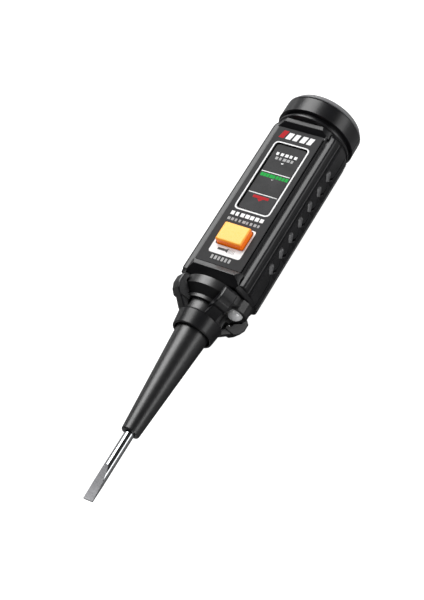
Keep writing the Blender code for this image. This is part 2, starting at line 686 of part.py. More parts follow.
# ---------------------------------------------------------------- label side
def build_label_side():
    plate = block("label_plate",
                  (-PLATE_HALF_WIDTH, PLATE_FRONT, PLATE_TOP - PLATE_THICKNESS),
                  (PLATE_HALF_WIDTH, PLATE_REAR, PLATE_TOP), M["plate"], chamfer=GAP)
    low = (-WINDOW_HALF_WIDTH, WINDOW_FRONT, FLAT_Z)
    high = (WINDOW_HALF_WIDTH, WINDOW_REAR, PLATE_TOP + GAP)
    cut(plate, block("plate_window", low, high, chamfer=3.0 * GAP))
    half_x = BUTTON_HALF_WIDTH + GAP
    half_y = BUTTON_HALF_LENGTH + GAP
    cut(plate, block("plate_button",
                     (-half_x, BUTTON_Y - half_y, FLAT_Z),
                     (half_x, BUTTON_Y + half_y, PLATE_TOP + GAP), chamfer=2.0 * GAP))

    lens_low = CEILING_Z + 3.0 * GAP
    block("window_lens",
          (-WINDOW_HALF_WIDTH + GAP, WINDOW_FRONT + GAP, lens_low),
          (WINDOW_HALF_WIDTH - GAP, WINDOW_REAR - GAP, lens_low + LENS_THICKNESS),
          M["smoke"], chamfer=3.0 * GAP)

    baffle = block("light_baffle",
                   (-BOARD_HALF_WIDTH + GAP, WINDOW_FRONT - GAP, BOARD_TOP + GAP),
                   (BOARD_HALF_WIDTH - GAP, WINDOW_REAR + GAP, CEILING_Z - GAP), M["baffle"], chamfer=GAP)
    wall = BAFFLE_WALL
    edges = [WINDOW_FRONT + LENS_LEDGE - wall / 2.0, *WINDOW_ZONES, WINDOW_REAR - LENS_LEDGE + wall / 2.0]
    for number, (start, end) in enumerate(zip(edges, edges[1:])):
        cut(baffle, block(f"light_cell_{number + 1}",
                          (-WINDOW_HALF_WIDTH + LENS_LEDGE, start + wall / 2.0, BOARD_TOP),
                          (WINDOW_HALF_WIDTH - LENS_LEDGE, end - wall / 2.0, CEILING_Z)))


def build_button():
    """The button cap: a hollow key with a flange that stops it from inside the shell."""
    half_x = BUTTON_HALF_WIDTH
    half_y = BUTTON_HALF_LENGTH
    top_inset = 2.0 * GAP
    plan = []
    for inset, z in ((0.0, CEILING_Z - 2.0 * GAP), (0.0, BUTTON_TOP - 2.0 * GAP), (top_inset, BUTTON_TOP)):
        x1 = half_x - inset
        y1 = half_y - inset
        c = 2.0 * GAP
        outline = [(-x1 + c, -y1), (x1 - c, -y1), (x1, -y1 + c), (x1, y1 - c)]
        outline += [(x1 - c, y1), (-x1 + c, y1), (-x1, y1 - c), (-x1, -y1 + c)]
        plan.append([(x, BUTTON_Y + y, z) for x, y in outline])
    cap = lofted("button_cap", plan, M["amber"])
    flange_x = half_x + GAP + BUTTON_FLANGE
    flange_y = half_y + GAP + BUTTON_FLANGE
    join(cap, block("button_flange",
                    (-flange_x, BUTTON_Y - flange_y, CEILING_Z - GAP - 2.0 * BUTTON_FLANGE),
                    (flange_x, BUTTON_Y + flange_y, CEILING_Z - GAP), chamfer=GAP))
    room = half_y - BUTTON_WALL
    cut(cap, block("button_hollow",
                   (-half_x + BUTTON_WALL, BUTTON_Y - room, CEILING_Z - 10.0 * GAP),
                   (half_x - BUTTON_WALL, BUTTON_Y + room, PLUNGER_TOP + GAP)))


# ---------------------------------------------------------------- electronics
def build_switch():
    base = BOARD_TOP + GAP
    housing = block("switch_housing",
                    (-SWITCH_HALF, BUTTON_Y - SWITCH_HALF, base),
                    (SWITCH_HALF, BUTTON_Y + SWITCH_HALF, SWITCH_TOP), M["ceramic"], chamfer=GAP)
    well = PLUNGER_RADIUS + GAP
    cut(housing, upright_cylinder("plunger_well", 0.0, BUTTON_Y,
                                  base + 2.0 * GAP, SWITCH_TOP + GAP, well, 20))
    low = base + 3.0 * GAP + BUTTON_TRAVEL
    upright_cylinder("switch_plunger", 0.0, BUTTON_Y, low, PLUNGER_TOP, PLUNGER_RADIUS, 20, M["ceramic"])


def build_board():
    board = block("circuit_board",
                  (-BOARD_HALF_WIDTH, BOARD_FRONT, BOARD_BOTTOM),
                  (BOARD_HALF_WIDTH, BOARD_REAR, BOARD_TOP), M["board"], chamfer=2.0 * GAP)
    for number, y in enumerate(SCREW_PLACES):
        clear = SCREW_RADIUS + BOSS_WALL + 2.0 * GAP
        if y + clear > BOARD_FRONT:
            hole = upright_cylinder(f"board_hole_{number + 1}", 0.0, y,
                                    BOARD_BOTTOM - GAP, BOARD_TOP + GAP, clear)
            cut(board, hole)

    edges = [WINDOW_FRONT, *WINDOW_ZONES, WINDOW_REAR]
    names = (("indicator_red", "red_led"), ("indicator_green", "green_led"),
             ("indicator_white", "white_led"))
    for (name, surface), start, end in zip(names, edges, edges[1:]):
        middle = (start + end) / 2.0
        size_x, size_y, size_z = INDICATOR_SIZE
        block(name,
              (-size_x / 2.0, middle - size_y / 2.0, BOARD_TOP + GAP),
              (size_x / 2.0, middle + size_y / 2.0, BOARD_TOP + GAP + size_z), M[surface], chamfer=GAP / 2.0)

    under = BOARD_BOTTOM - GAP
    hung = [("controller_chip", 0.0, CHIP_Y, CHIP_SIZE, "ceramic"),
            ("chip_capacitor", CAPACITOR_X, CHIP_Y, CAPACITOR_SIZE, "capacitor")]
    for number, y in enumerate(CHIP_RESISTOR_PLACES):
        hung.append((f"chip_resistor_{number + 1}", CHIP_RESISTOR_X, y, CHIP_RESISTOR_SIZE, "ceramic"))
    for name, x, y, (size_x, size_y, size_z), surface in hung:
        block(name, (x - size_x / 2.0, y - size_y / 2.0, under - size_z),
              (x + size_x / 2.0, y + size_y / 2.0, under), M[surface], chamfer=GAP / 2.0)


def build_limiting_resistor():
    """The axial resistor between the blade and the board, with its leads bent up."""
    radius = RESISTOR_RADIUS
    x = RESISTOR_X
    z = BOARD_BOTTOM - GAP - radius - GAP
    start = RESISTOR_START
    end = start + RESISTOR_LENGTH
    body = turned("limiting_resistor", [
        (start, 0.0),
        (start, radius - GAP),
        (start + GAP, radius),
        (end - GAP, radius),
        (end, radius - GAP),
        (end, 0.0),
    ], M["resistor"], centre=(x, z), segments=20)
    lead = RESISTOR_LEAD_RADIUS
    reach = RESISTOR_LEAD_REACH
    for name, root, way in (("resistor_lead_front", start, -1), ("resistor_lead_rear", end, 1)):
        route = [
            (x, root - way * reach, z),
            (x, root + way * reach, z),
            (x, root + way * (reach + lead), z + lead),
            (x, root + way * (reach + lead), BOARD_BOTTOM - GAP),
        ]
        join(body, wire(name, route, lead))


def build_tip_spring():
    """The spring that presses on the blade's end, with its tail led to the board."""
    radius = TIP_SPRING_RADIUS
    turns = TIP_SPRING_TURNS
    start = BLADE_END + GAP + 1.25 * TIP_SPRING_WIRE
    end = TENON_END
    route = []
    for step in range(turns * 12 + 1):
        angle = 2.0 * pi * step / 12.0
        y = start + (end - start) * step / (turns * 12.0)
        route.append((radius * sin(angle) * -1.0, y, radius * cos(angle)))
    route += [
        (-1.2 * mm, end + 0.3 * mm, 1.2 * mm),
        (-3.2 * mm, end + 1.2 * mm, 1.6 * mm),
        (-5.0 * mm, BOARD_FRONT - 1.0 * mm, 1.9 * mm),
        (-5.0 * mm, BOARD_FRONT + 1.0 * mm, BOARD_BOTTOM - GAP - 0.2 * mm),
    ]
    wire("tip_spring", route, TIP_SPRING_WIRE, M["nickel"], sides=6)


# ---------------------------------------------------------------- battery end
def build_cells():
    crown = CELL_RADIUS - CELL_CROWN_INSET
    for index in range(CELL_COUNT):
        start = STACK_START + index * CELL_PITCH
        end = start + CELL_HEIGHT
        turned(f"battery_cell_{index + 1}", [
            (start, 0.0),
            (start, crown),
            (start + GAP, crown),
            (start + GAP, CELL_RADIUS - GAP),
            (start + 2.0 * GAP, CELL_RADIUS),
            (end - GAP, CELL_RADIUS),
            (end, CELL_RADIUS - GAP),
            (end, 0.0),
        ], M["cell"], centre=(0.0, CELL_Z), segments=32)


def build_cradle():
    """The open trough under the cells, with a front wall that carries the spring contact."""
    inner = CELL_RADIUS + GAP
    outer = inner + CRADLE_WALL
    outline = []
    first, last = CRADLE_ANGLES
    steps = 20
    for step in range(steps + 1):
        angle = first + (last - first) * step / steps
        x, z = arc_point(outer, angle)
        outline.append((x, CELL_Z + z))
    for step in range(steps, -1, -1):
        angle = first + (last - first) * step / steps
        x, z = arc_point(inner, angle)
        outline.append((x, CELL_Z + z))
    start = SPRING_PLATE_Y - GAP - CRADLE_FRONT_WALL
    sections = [[(x, y, z) for x, z in outline] for y in (start, STACK_END - GAP)]
    cradle = lofted("battery_cradle", sections, M["cradle"], smooth=30)
    wall = []
    for step in range(steps + 1):
        angle = first + (last - first) * step / steps
        x, z = arc_point(inner + CRADLE_WALL / 2.0, angle)
        wall.append((x, CELL_Z + z))
    ends = (start, start + CRADLE_FRONT_WALL)
    join(cradle, lofted("cradle_wall", [[(x, y, z) for x, z in wall] for y in ends]))


def build_contacts():
    width = STRIP_WIDTH
    reach = SPRING_PLATE_REACH
    block("spring_plate", (-reach, SPRING_PLATE_Y, CELL_Z - reach),
          (reach, SPRING_PLATE_Y + CONTACT_THICKNESS, BOARD_BOTTOM - GAP), M["nickel"])
    route = []
    turns, steps = SPRING_TURNS, 14
    low = SPRING_PLATE_Y + CONTACT_THICKNESS + GAP + SPRING_WIRE
    high = STACK_START - GAP - SPRING_WIRE
    for step in range(turns * steps + 1):
        share = step / (turns * steps)
        angle = 2.0 * pi * step / steps
        radius = SPRING_WIDE_RADIUS + (SPRING_SMALL_RADIUS - SPRING_WIDE_RADIUS) * share
        route.append((radius * cos(angle), low + (high - low) * share, CELL_Z + radius * sin(angle)))
    wire("battery_spring", route, SPRING_WIRE, M["nickel"], sides=6)
    x = CELL_RADIUS + 2.0 * GAP + CRADLE_WALL + 0.6 * mm
    block("battery_strip", (x, SPRING_PLATE_Y, -width / 2.0),
          (x + CONTACT_THICKNESS, CONTACT_START - GAP, width / 2.0), M["nickel"])


def build_end_cap():
    """The screw-in end cap with its coin slot, inner contact and seal."""
    inner = CAP_SKIRT_RADIUS - CAP_SKIRT_WALL
    floor = CAP_BASE - CAP_FLOOR_DEPTH
    post = CAP_POST_RADIUS
    seal_seat = CAP_SKIRT_RADIUS - SEAL_SECTION
    seal_start = CAP_BASE - 2.0 * SEAL_SECTION - GAP
    cap = turned("end_cap", [
        (OVERALL_LENGTH, 0.0),
        (OVERALL_LENGTH, CAP_FACE_RADIUS - GAP),
        (OVERALL_LENGTH - GAP, CAP_FACE_RADIUS),
        (CAP_BASE + GAP, HEAD_RADIUS - GAP / 2.0),
        (CAP_BASE, HEAD_RADIUS - GAP),
        (CAP_BASE, seal_seat),
        (seal_start - GAP, seal_seat),
        (seal_start - GAP, CAP_SKIRT_RADIUS),
        (CAP_SKIRT_START, CAP_SKIRT_RADIUS),
        (CAP_SKIRT_START, inner),
        (floor, inner),
        (floor, post),
        (CAP_SKIRT_START, post),
        (CAP_SKIRT_START, 0.0),
    ], M["cap"])
    length, width, depth = COIN_SLOT
    cut(cap, block("coin_slot", (-length / 2.0, OVERALL_LENGTH - depth, -width / 2.0),
                   (length / 2.0, OVERALL_LENGTH + GAP, width / 2.0)))
    turned("cap_contact", [
        (CONTACT_START, 0.0),
        (CONTACT_START, inner - GAP),
        (CONTACT_START + CONTACT_THICKNESS, inner - GAP),
        (CONTACT_START + CONTACT_THICKNESS, 0.0),
    ], M["nickel"], segments=32)
    seal_inner = seal_seat + GAP
    seal_outer = min(seal_inner + SEAL_SECTION, CAVITY_RADIUS - GAP / 3.0)
    turned("seal_ring", [
        (seal_start, seal_inner),
        (seal_start, seal_outer - GAP / 2.0),
        (seal_start + GAP / 2.0, seal_outer),
        (seal_start + SEAL_SECTION, seal_outer),
        (seal_start + SEAL_SECTION, seal_inner),
    ], M["rubber"])


# ---------------------------------------------------------------- the pen
clear_scene()
PEN_FRAME = bpy.data.objects.new("pen_frame", None)
bpy.context.collection.objects.link(PEN_FRAME)
PEN_FRAME.location = (0.0, -OVERALL_LENGTH / 2.0, HEAD_RADIUS)
M = palette()

build_blade()
build_sleeve()
build_collar()
build_nose()
build_torch_led()
build_shells()
build_shell_screws()
build_label_side()
build_button()
build_switch()
build_board()
build_limiting_resistor()
build_tip_spring()
build_cells()
build_cradle()
build_contacts()
build_end_cap()
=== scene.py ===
from math import asin, cos, pi, radians, sin, sqrt, tan

import bmesh
import bpy
import numpy as np
from mathutils import Matrix, Vector


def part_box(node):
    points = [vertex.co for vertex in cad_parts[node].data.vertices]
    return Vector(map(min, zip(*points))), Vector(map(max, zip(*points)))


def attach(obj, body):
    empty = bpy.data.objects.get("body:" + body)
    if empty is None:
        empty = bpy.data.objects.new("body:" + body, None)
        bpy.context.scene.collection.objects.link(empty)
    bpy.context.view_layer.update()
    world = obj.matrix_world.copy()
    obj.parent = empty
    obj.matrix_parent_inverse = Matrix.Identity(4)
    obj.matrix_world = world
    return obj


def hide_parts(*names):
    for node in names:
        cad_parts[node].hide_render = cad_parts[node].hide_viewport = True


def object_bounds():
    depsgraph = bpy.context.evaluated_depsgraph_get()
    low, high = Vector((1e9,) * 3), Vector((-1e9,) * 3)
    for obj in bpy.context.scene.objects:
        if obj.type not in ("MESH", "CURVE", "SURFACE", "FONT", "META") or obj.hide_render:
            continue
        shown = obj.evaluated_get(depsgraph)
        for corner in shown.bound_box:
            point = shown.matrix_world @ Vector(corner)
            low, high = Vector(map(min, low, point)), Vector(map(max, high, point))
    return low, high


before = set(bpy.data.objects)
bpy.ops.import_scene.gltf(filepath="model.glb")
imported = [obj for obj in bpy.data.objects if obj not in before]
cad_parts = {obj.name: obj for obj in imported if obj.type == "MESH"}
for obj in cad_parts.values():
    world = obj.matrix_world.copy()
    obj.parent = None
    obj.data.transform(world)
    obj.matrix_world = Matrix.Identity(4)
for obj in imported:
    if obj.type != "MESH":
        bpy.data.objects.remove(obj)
cad_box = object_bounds()

# ------------------------------------------------------------ camera, floor and studio lights
# The tester lies on its back on a table.  Table and room are white to the camera and dark to
# reflections.  A softbox hangs over the left side; weak strips stand low all round it.
scene = bpy.context.scene
scene.view_settings.view_transform = "Standard"
box_middle = (cad_box[0] + cad_box[1]) / 2
view_azimuth, view_elevation, view_roll = radians(48.01), radians(51.94), radians(-22.55)
view_distance = 0.46476
aim = box_middle + Vector((-0.00213, 0.00082, -0.00294))

level_right = Vector((cos(view_azimuth), sin(view_azimuth), 0.0))
back = Vector((sin(view_azimuth) * cos(view_elevation),
               -cos(view_azimuth) * cos(view_elevation),
               sin(view_elevation)))
level_up = back.cross(level_right)
right = level_right * cos(view_roll) + level_up * sin(view_roll)
up = back.cross(right)
camera = bpy.data.objects.new("camera", bpy.data.cameras.new("camera"))
camera.data.lens = 96.95
camera.data.clip_start = 0.01
camera.matrix_world = Matrix.LocRotScale(
    aim + back * view_distance, Matrix((right, up, back)).transposed().to_quaternion(), None)
scene.collection.objects.link(camera)
scene.camera = camera


def softbox(name, place, size, power):
    """A rectangular light that faces the tester; its size is given across and along the pen."""
    lamp = bpy.data.lights.new(name, "AREA")
    lamp.shape = "RECTANGLE"
    lamp.size, lamp.size_y = size
    lamp.energy = power
    holder = bpy.data.objects.new(name, lamp)
    facing = Vector(place).normalized()
    along = (Vector((0.0, 1.0, 0.0)) - facing * facing.y).normalized()
    turn = Matrix((along.cross(facing), along, facing)).transposed().to_quaternion()
    holder.matrix_world = Matrix.LocRotScale(Vector(place), turn, None)
    scene.collection.objects.link(holder)
    return holder


softbox("overhead_softbox", (-0.42, 0.37, 0.70), (0.60, 0.8), 11.5)
softbox("right_strip", (0.78, 0.34, 0.24), (0.34, 0.9), 3.2)
softbox("rear_strip", (-0.41, 0.78, 0.20), (0.3, 0.3), 1.3)
softbox("left_strip", (-0.70, 0.36, 0.05), (0.1, 0.7), 0.35)
softbox("front_strip", (0.68, -0.56, 0.16), (0.5, 0.4), 3.4)
world = bpy.data.worlds.new("studio_room")
world.use_nodes = True
world.node_tree.nodes["Background"].inputs["Color"].default_value = (1.0, 1.0, 1.0, 1.0)
seen_by_lens = world.node_tree.nodes.new("ShaderNodeLightPath")
room_strength = world.node_tree.nodes.new("ShaderNodeMapRange")
room_strength.inputs["To Min"].default_value = 0.06
room_strength.inputs["To Max"].default_value = 1.0
world.node_tree.links.new(seen_by_lens.outputs["Is Camera Ray"], room_strength.inputs["Value"])
world.node_tree.links.new(room_strength.outputs["Result"],
                          world.node_tree.nodes["Background"].inputs["Strength"])
scene.world = world


def mottled(name, colour, roughness, metallic=0.0, tone=0.2, patch=5.0, vary=0.06, grain=0.3,
            relief=0.006, stretch=(1.0, 1.0, 1.0), specular=0.5):
    """A Principled material whose tone, gloss and fine relief wander; sizes are in millimetres."""
    surface = bpy.data.materials.new(name)
    surface.use_nodes = True
    nodes, links = surface.node_tree.nodes, surface.node_tree.links
    shader = nodes["Principled BSDF"]
    shader.inputs["Metallic"].default_value = metallic
    shader.inputs["Specular IOR Level"].default_value = specular
    place = nodes.new("ShaderNodeTexCoord")
    scale = nodes.new("ShaderNodeMapping")
    scale.inputs["Scale"].default_value = [1000.0 * share for share in stretch]
    links.new(place.outputs["Object"], scale.inputs["Vector"])

    patches = nodes.new("ShaderNodeTexNoise")
    patches.inputs["Scale"].default_value = 1.0 / patch
    patches.inputs["Detail"].default_value = 4.0
    links.new(scale.outputs["Vector"], patches.inputs["Vector"])
    blend = nodes.new("ShaderNodeValToRGB")
    blend.color_ramp.elements[0].position = 0.3
    blend.color_ramp.elements[1].position = 0.7
    blend.color_ramp.elements[0].color = [part * (1.0 - tone) for part in colour] + [1.0]
    blend.color_ramp.elements[1].color = [min(1.0, part * (1.0 + tone)) for part in colour] + [1.0]
    links.new(patches.outputs["Fac"], blend.inputs["Fac"])
    links.new(blend.outputs["Color"], shader.inputs["Base Color"])

    fine = nodes.new("ShaderNodeTexNoise")
    fine.inputs["Scale"].default_value = 1.0 / grain
    fine.inputs["Detail"].default_value = 3.0
    links.new(scale.outputs["Vector"], fine.inputs["Vector"])
    gloss = nodes.new("ShaderNodeMapRange")
    gloss.inputs["From Min"].default_value = 0.3
    gloss.inputs["From Max"].default_value = 0.7
    gloss.inputs["To Min"].default_value = max(0.02, roughness - vary)
    gloss.inputs["To Max"].default_value = roughness + vary
    links.new(fine.outputs["Fac"], gloss.inputs["Value"])
    links.new(gloss.outputs["Result"], shader.inputs["Roughness"])
    bump = nodes.new("ShaderNodeBump")
    bump.inputs["Strength"].default_value = 0.6
    bump.inputs["Distance"].default_value = relief / 1000.0
    links.new(fine.outputs["Fac"], bump.inputs["Height"])
    links.new(bump.outputs["Normal"], shader.inputs["Normal"])
    return surface


table_mesh = bpy.data.meshes.new("table_top")
table_mesh.from_pydata([(-4, -4, -0.0002), (4, -4, -0.0002), (4, 4, -0.0002), (-4, 4, -0.0002)],
                       [], [(0, 1, 2, 3)])
table_top = bpy.data.objects.new("table_top", table_mesh)
table_white = mottled("table_white", (0.20, 0.20, 0.20), 0.6, tone=0.01, patch=40.0)
table_shader = table_white.node_tree.nodes["Principled BSDF"]
table_shader.inputs["Emission Color"].default_value = (1.0, 1.0, 1.0, 1.0)
seen_by = table_white.node_tree.nodes.new("ShaderNodeLightPath")
table_white.node_tree.links.new(seen_by.outputs["Is Camera Ray"], table_shader.inputs["Emission Strength"])
table_mesh.materials.append(table_white)
scene.collection.objects.link(table_top)

# ------------------------------------------------------------ screwdriver blade
# A 3 mm steel rod, centreless ground and polished.  Two hollow-ground flats thin its end to the
# tip; the wheel leaves them satin, with fine marks across the rod.
blade_low, blade_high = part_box("blade")
pen_start = blade_low.y
axis_height = (blade_low.z + blade_high.z) / 2
to_row = Matrix.Translation((0.0, pen_start, axis_height)) @ Matrix.Scale(0.001, 4)
BLADE_RADIUS = (blade_high.x - blade_low.x) * 500.0
BLADE_END = (blade_high.y - blade_low.y) * 1000.0
TIP_HALF, GROUND_LENGTH = 0.26, 10.9

polished_steel = mottled("polished_steel", (0.40, 0.41, 0.42), 0.1, 1.0, tone=0.05, patch=3.0,
                         vary=0.03, grain=0.12, relief=0.002, stretch=(1.0, 0.12, 1.0))
ground_steel = mottled("ground_steel", (0.14, 0.14, 0.145), 0.5, 1.0, tone=0.12, patch=2.0,
                       vary=0.08, grain=0.1, relief=0.006, stretch=(0.1, 1.0, 0.3))


def baked(piece):
    """Turn the piece's modifiers into plain mesh."""
    view = bpy.context.evaluated_depsgraph_get()
    mesh = bpy.data.meshes.new_from_object(piece.evaluated_get(view), depsgraph=view)
    piece.modifiers.clear()
    piece.data = mesh
    return piece


def raw_piece(name, mesh_data, *materials):
    """A piece in millimetres along the pen's own axis, not yet put in its place."""
    mesh = bpy.data.meshes.new(name)
    mesh_data.to_mesh(mesh)
    mesh_data.free()
    for surface in materials:
        mesh.materials.append(surface)
    piece = bpy.data.objects.new(name, mesh)
    scene.collection.objects.link(piece)
    return piece


def fitted(piece, body, slot, *nodes, smooth=30):
    """Smooth the piece, put it in its place on the pen, and let it ride and stand for CAD nodes."""
    piece.data.shade_smooth()
    piece.data.set_sharp_from_angle(angle=radians(smooth))
    even = piece.modifiers.new("even_normals", "WEIGHTED_NORMAL")
    even.keep_sharp = True
    baked(piece)
    piece.data.transform(to_row)
    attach(piece, body)
    if nodes:
        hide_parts(*nodes)
    return piece


def lofted(sections, closed_ends=True):
    """Skin closed sections, each a list of points with the same count."""
    mesh_data = bmesh.new()
    rings = [[mesh_data.verts.new(point) for point in section] for section in sections]
    for ring, following in zip(rings, rings[1:]):
        for step in range(len(ring)):
            beside = (step + 1) % len(ring)
            mesh_data.faces.new((ring[step], ring[beside], following[beside], following[step]))
    if closed_ends:
        mesh_data.faces.new(rings[0])
        mesh_data.faces.new(rings[-1])
    bmesh.ops.remove_doubles(mesh_data, verts=mesh_data.verts, dist=0.0005)
    bmesh.ops.recalc_face_normals(mesh_data, faces=mesh_data.faces)
    return mesh_data


def blade_section(y, half_thickness, radius):
    """The rod's round section with its two flats, always with the same number of points."""
    flat_angle = asin(min(1.0, half_thickness / radius))
    reach = radius * cos(flat_angle)
    points = []
    for middle, side in ((0.0, 1.0), (pi, -1.0)):
        for step in range(17):
            angle = middle - flat_angle + 2.0 * flat_angle * step / 16.0
            points.append((radius * cos(angle), y, radius * sin(angle)))
        for step in range(1, 8):
            across = side * reach * (1.0 - step / 4.0)
            points.append((across, y, side * half_thickness))
    return points


blade_sections = [blade_section(0.0, TIP_HALF - 0.06, BLADE_RADIUS - 0.07)]
GRIND_STEPS = 44
for step in range(GRIND_STEPS + 1):
    share = step / GRIND_STEPS
    hollow = TIP_HALF + (BLADE_RADIUS - TIP_HALF) * share ** 1.5
    blade_sections.append(blade_section(0.07 + GROUND_LENGTH * share, hollow, BLADE_RADIUS))
for y in (GROUND_LENGTH + 0.3, 16.0, 22.0, 40.0, BLADE_END - 0.3):
    blade_sections.append(blade_section(y, BLADE_RADIUS, BLADE_RADIUS))
blade_sections.append(blade_section(BLADE_END, BLADE_RADIUS - 0.3, BLADE_RADIUS - 0.3))
blade_rod = raw_piece("blade_rod", lofted(blade_sections), polished_steel, ground_steel)
for face in blade_rod.data.polygons:
    face.material_index = int(abs(face.normal.z) > 0.97 and face.center.y < GROUND_LENGTH
                              and abs(face.center.z) < BLADE_RADIUS * 0.97)
fitted(blade_rod, "housing", "steel", "blade", smooth=14)

# ------------------------------------------------------------ tapered sleeve
# Glossy black insulation moulded over the rod.  It widens towards the handle and ends in a
# small rounded lip where the bare steel comes out.
gloss_black = mottled("gloss_black", (0.006, 0.006, 0.0065), 0.36, tone=0.25, patch=8.0, vary=0.03,
                      grain=0.9, relief=0.001, specular=0.7)


def rounded(points, radii, steps=4, closed=True):
    """Round the corners of an outline; each radius belongs to the corner beside it."""
    out = []
    count = len(points)
    for index, (point, radius) in enumerate(zip(points, radii)):
        here = Vector(point)
        if radius == 0.0 or (not closed and index in (0, count - 1)):
            out += [tuple(here)] if radius == 0.0 else [tuple(here)] * (steps + 1)
            continue
        arriving = here - Vector(points[index - 1])
        leaving = Vector(points[(index + 1) % count]) - here
        turn = arriving.angle(leaving)
        reach = min(radius * tan(turn / 2.0), 0.45 * arriving.length, 0.45 * leaving.length)
        start = here - arriving.normalized() * reach
        end = here + leaving.normalized() * reach
        for step in range(steps + 1):
            share = step / steps
            bent = start * (1 - share) ** 2 + here * (2 * share * (1 - share)) + end * share ** 2
            out.append(tuple(bent))
    return out


def turned(outline, segments=96, centre=(0.0, 0.0)):
    """Turn a closed outline of (y, radius) points about a line along the pen."""
    mesh_data = bmesh.new()
    rings = []
    for y, radius in outline:
        if radius < 1e-6:
            pole = mesh_data.verts.new((centre[0], y, centre[1]))
            rings.append([pole] * segments)
            continue
        ring = []
        for step in range(segments):
            angle = 2.0 * pi * step / segments
            place = (centre[0] + radius * cos(angle), y, centre[1] + radius * sin(angle))
            ring.append(mesh_data.verts.new(place))
        rings.append(ring)
    for index, ring in enumerate(rings):
        following = rings[(index + 1) % len(rings)]
        for step in range(segments):
            beside = (step + 1) % segments
            corners = []
            for corner in (ring[step], ring[beside], following[beside], following[step]):
                if corner not in corners:
                    corners.append(corner)
            if len(corners) > 2:
                mesh_data.faces.new(corners)
    bmesh.ops.recalc_face_normals(mesh_data, faces=mesh_data.faces)
    return mesh_data


sleeve_low, sleeve_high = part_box("taper_sleeve")
SLEEVE_START = (sleeve_low.y - pen_start) * 1000.0
SLEEVE_END = (sleeve_high.y - pen_start) * 1000.0
SLEEVE_RADIUS = (sleeve_high.x - sleeve_low.x) * 500.0
BORE = BLADE_RADIUS + 0.08
sleeve_outline = rounded(
    [(SLEEVE_START, BORE), (SLEEVE_START, 2.62), (SLEEVE_START + 0.35, 2.76),
     (SLEEVE_END, SLEEVE_RADIUS), (SLEEVE_END, BORE)],
    [0.12, 0.25, 0.3, 0.1, 0.0])
sleeve_taper = raw_piece("sleeve_taper", turned(sleeve_outline, 128), gloss_black)
fitted(sleeve_taper, "housing", "gloss_black", "taper_sleeve")

# ------------------------------------------------------------ front collar with four lugs
# One satin black moulding: a flared ring with a thin lip and a ridge, and four lugs on short
# stems behind the ridge.  The lugs stop the pen rolling and guard the torch.
satin_black = mottled("satin_black", (0.007, 0.007, 0.008), 0.32, tone=0.3, patch=6.0, vary=0.04,
                      grain=0.22, relief=0.002, specular=0.4)


def ring_tree():
    """Geometry nodes that set copies of a piece round the pen's axis."""
    tree = bpy.data.node_groups.new("ring_of_pieces", "GeometryNodeTree")
    sockets = {}
    for label, kind in (("Piece", "Geometry"), ("Count", "Int"), ("Finish", "Material")):
        sockets[label] = tree.interface.new_socket(
            label, in_out="INPUT", socket_type=f"NodeSocket{kind}").identifier
    tree.interface.new_socket("Ring", in_out="OUTPUT", socket_type="NodeSocketGeometry")
    new, link = tree.nodes.new, tree.links.new
    given, result = new("NodeGroupInput"), new("NodeGroupOutput")
    line = new("GeometryNodeMeshLine")
    line.inputs["Offset"].default_value = (0.0, 0.0, 0.0)
    link(given.outputs["Count"], line.inputs["Count"])
    share = new("ShaderNodeMath")
    share.operation = "DIVIDE"
    link(new("GeometryNodeInputIndex").outputs[0], share.inputs[0])
    link(given.outputs["Count"], share.inputs[1])
    angle = new("ShaderNodeMath")
    angle.operation = "MULTIPLY"
    angle.inputs[1].default_value = 2.0 * pi
    link(share.outputs[0], angle.inputs[0])
    turn = new("ShaderNodeCombineXYZ")
    link(angle.outputs[0], turn.inputs["Y"])
    copies = new("GeometryNodeInstanceOnPoints")
    link(line.outputs["Mesh"], copies.inputs["Points"])
    link(given.outputs["Piece"], copies.inputs["Instance"])
    link(turn.outputs[0], copies.inputs["Rotation"])
    real = new("GeometryNodeRealizeInstances")
    link(copies.outputs[0], real.inputs[0])
    finish = new("GeometryNodeSetMaterial")
    link(real.outputs[0], finish.inputs["Geometry"])
    link(given.outputs["Finish"], finish.inputs["Material"])
    link(finish.outputs[0], result.inputs[0])
    return tree, sockets


def lug_section(y, inner, outer, half_width, bevel):
    """One station of the lug that points straight up."""
    return [(-half_width, y, inner), (half_width, y, inner), (half_width, y, outer - bevel),
            (half_width - bevel, y, outer), (bevel - half_width, y, outer),
            (-half_width, y, outer - bevel)]


def edge_softened(piece, width, segments=2, angle=28):
    """Round the piece's sharp edges."""
    soft = piece.modifiers.new("soft_edges", "BEVEL")
    soft.width = width
    soft.segments = segments
    soft.limit_method = "ANGLE"
    soft.angle_limit = radians(angle)
    return baked(piece)


def joined(piece, *others):
    """Add other pieces' meshes to this one."""
    mesh_data = bmesh.new()
    mesh_data.from_mesh(piece.data)
    for other in others:
        mesh_data.from_mesh(other.data)
        bpy.data.objects.remove(other)
    mesh_data.to_mesh(piece.data)
    mesh_data.free()
    return piece


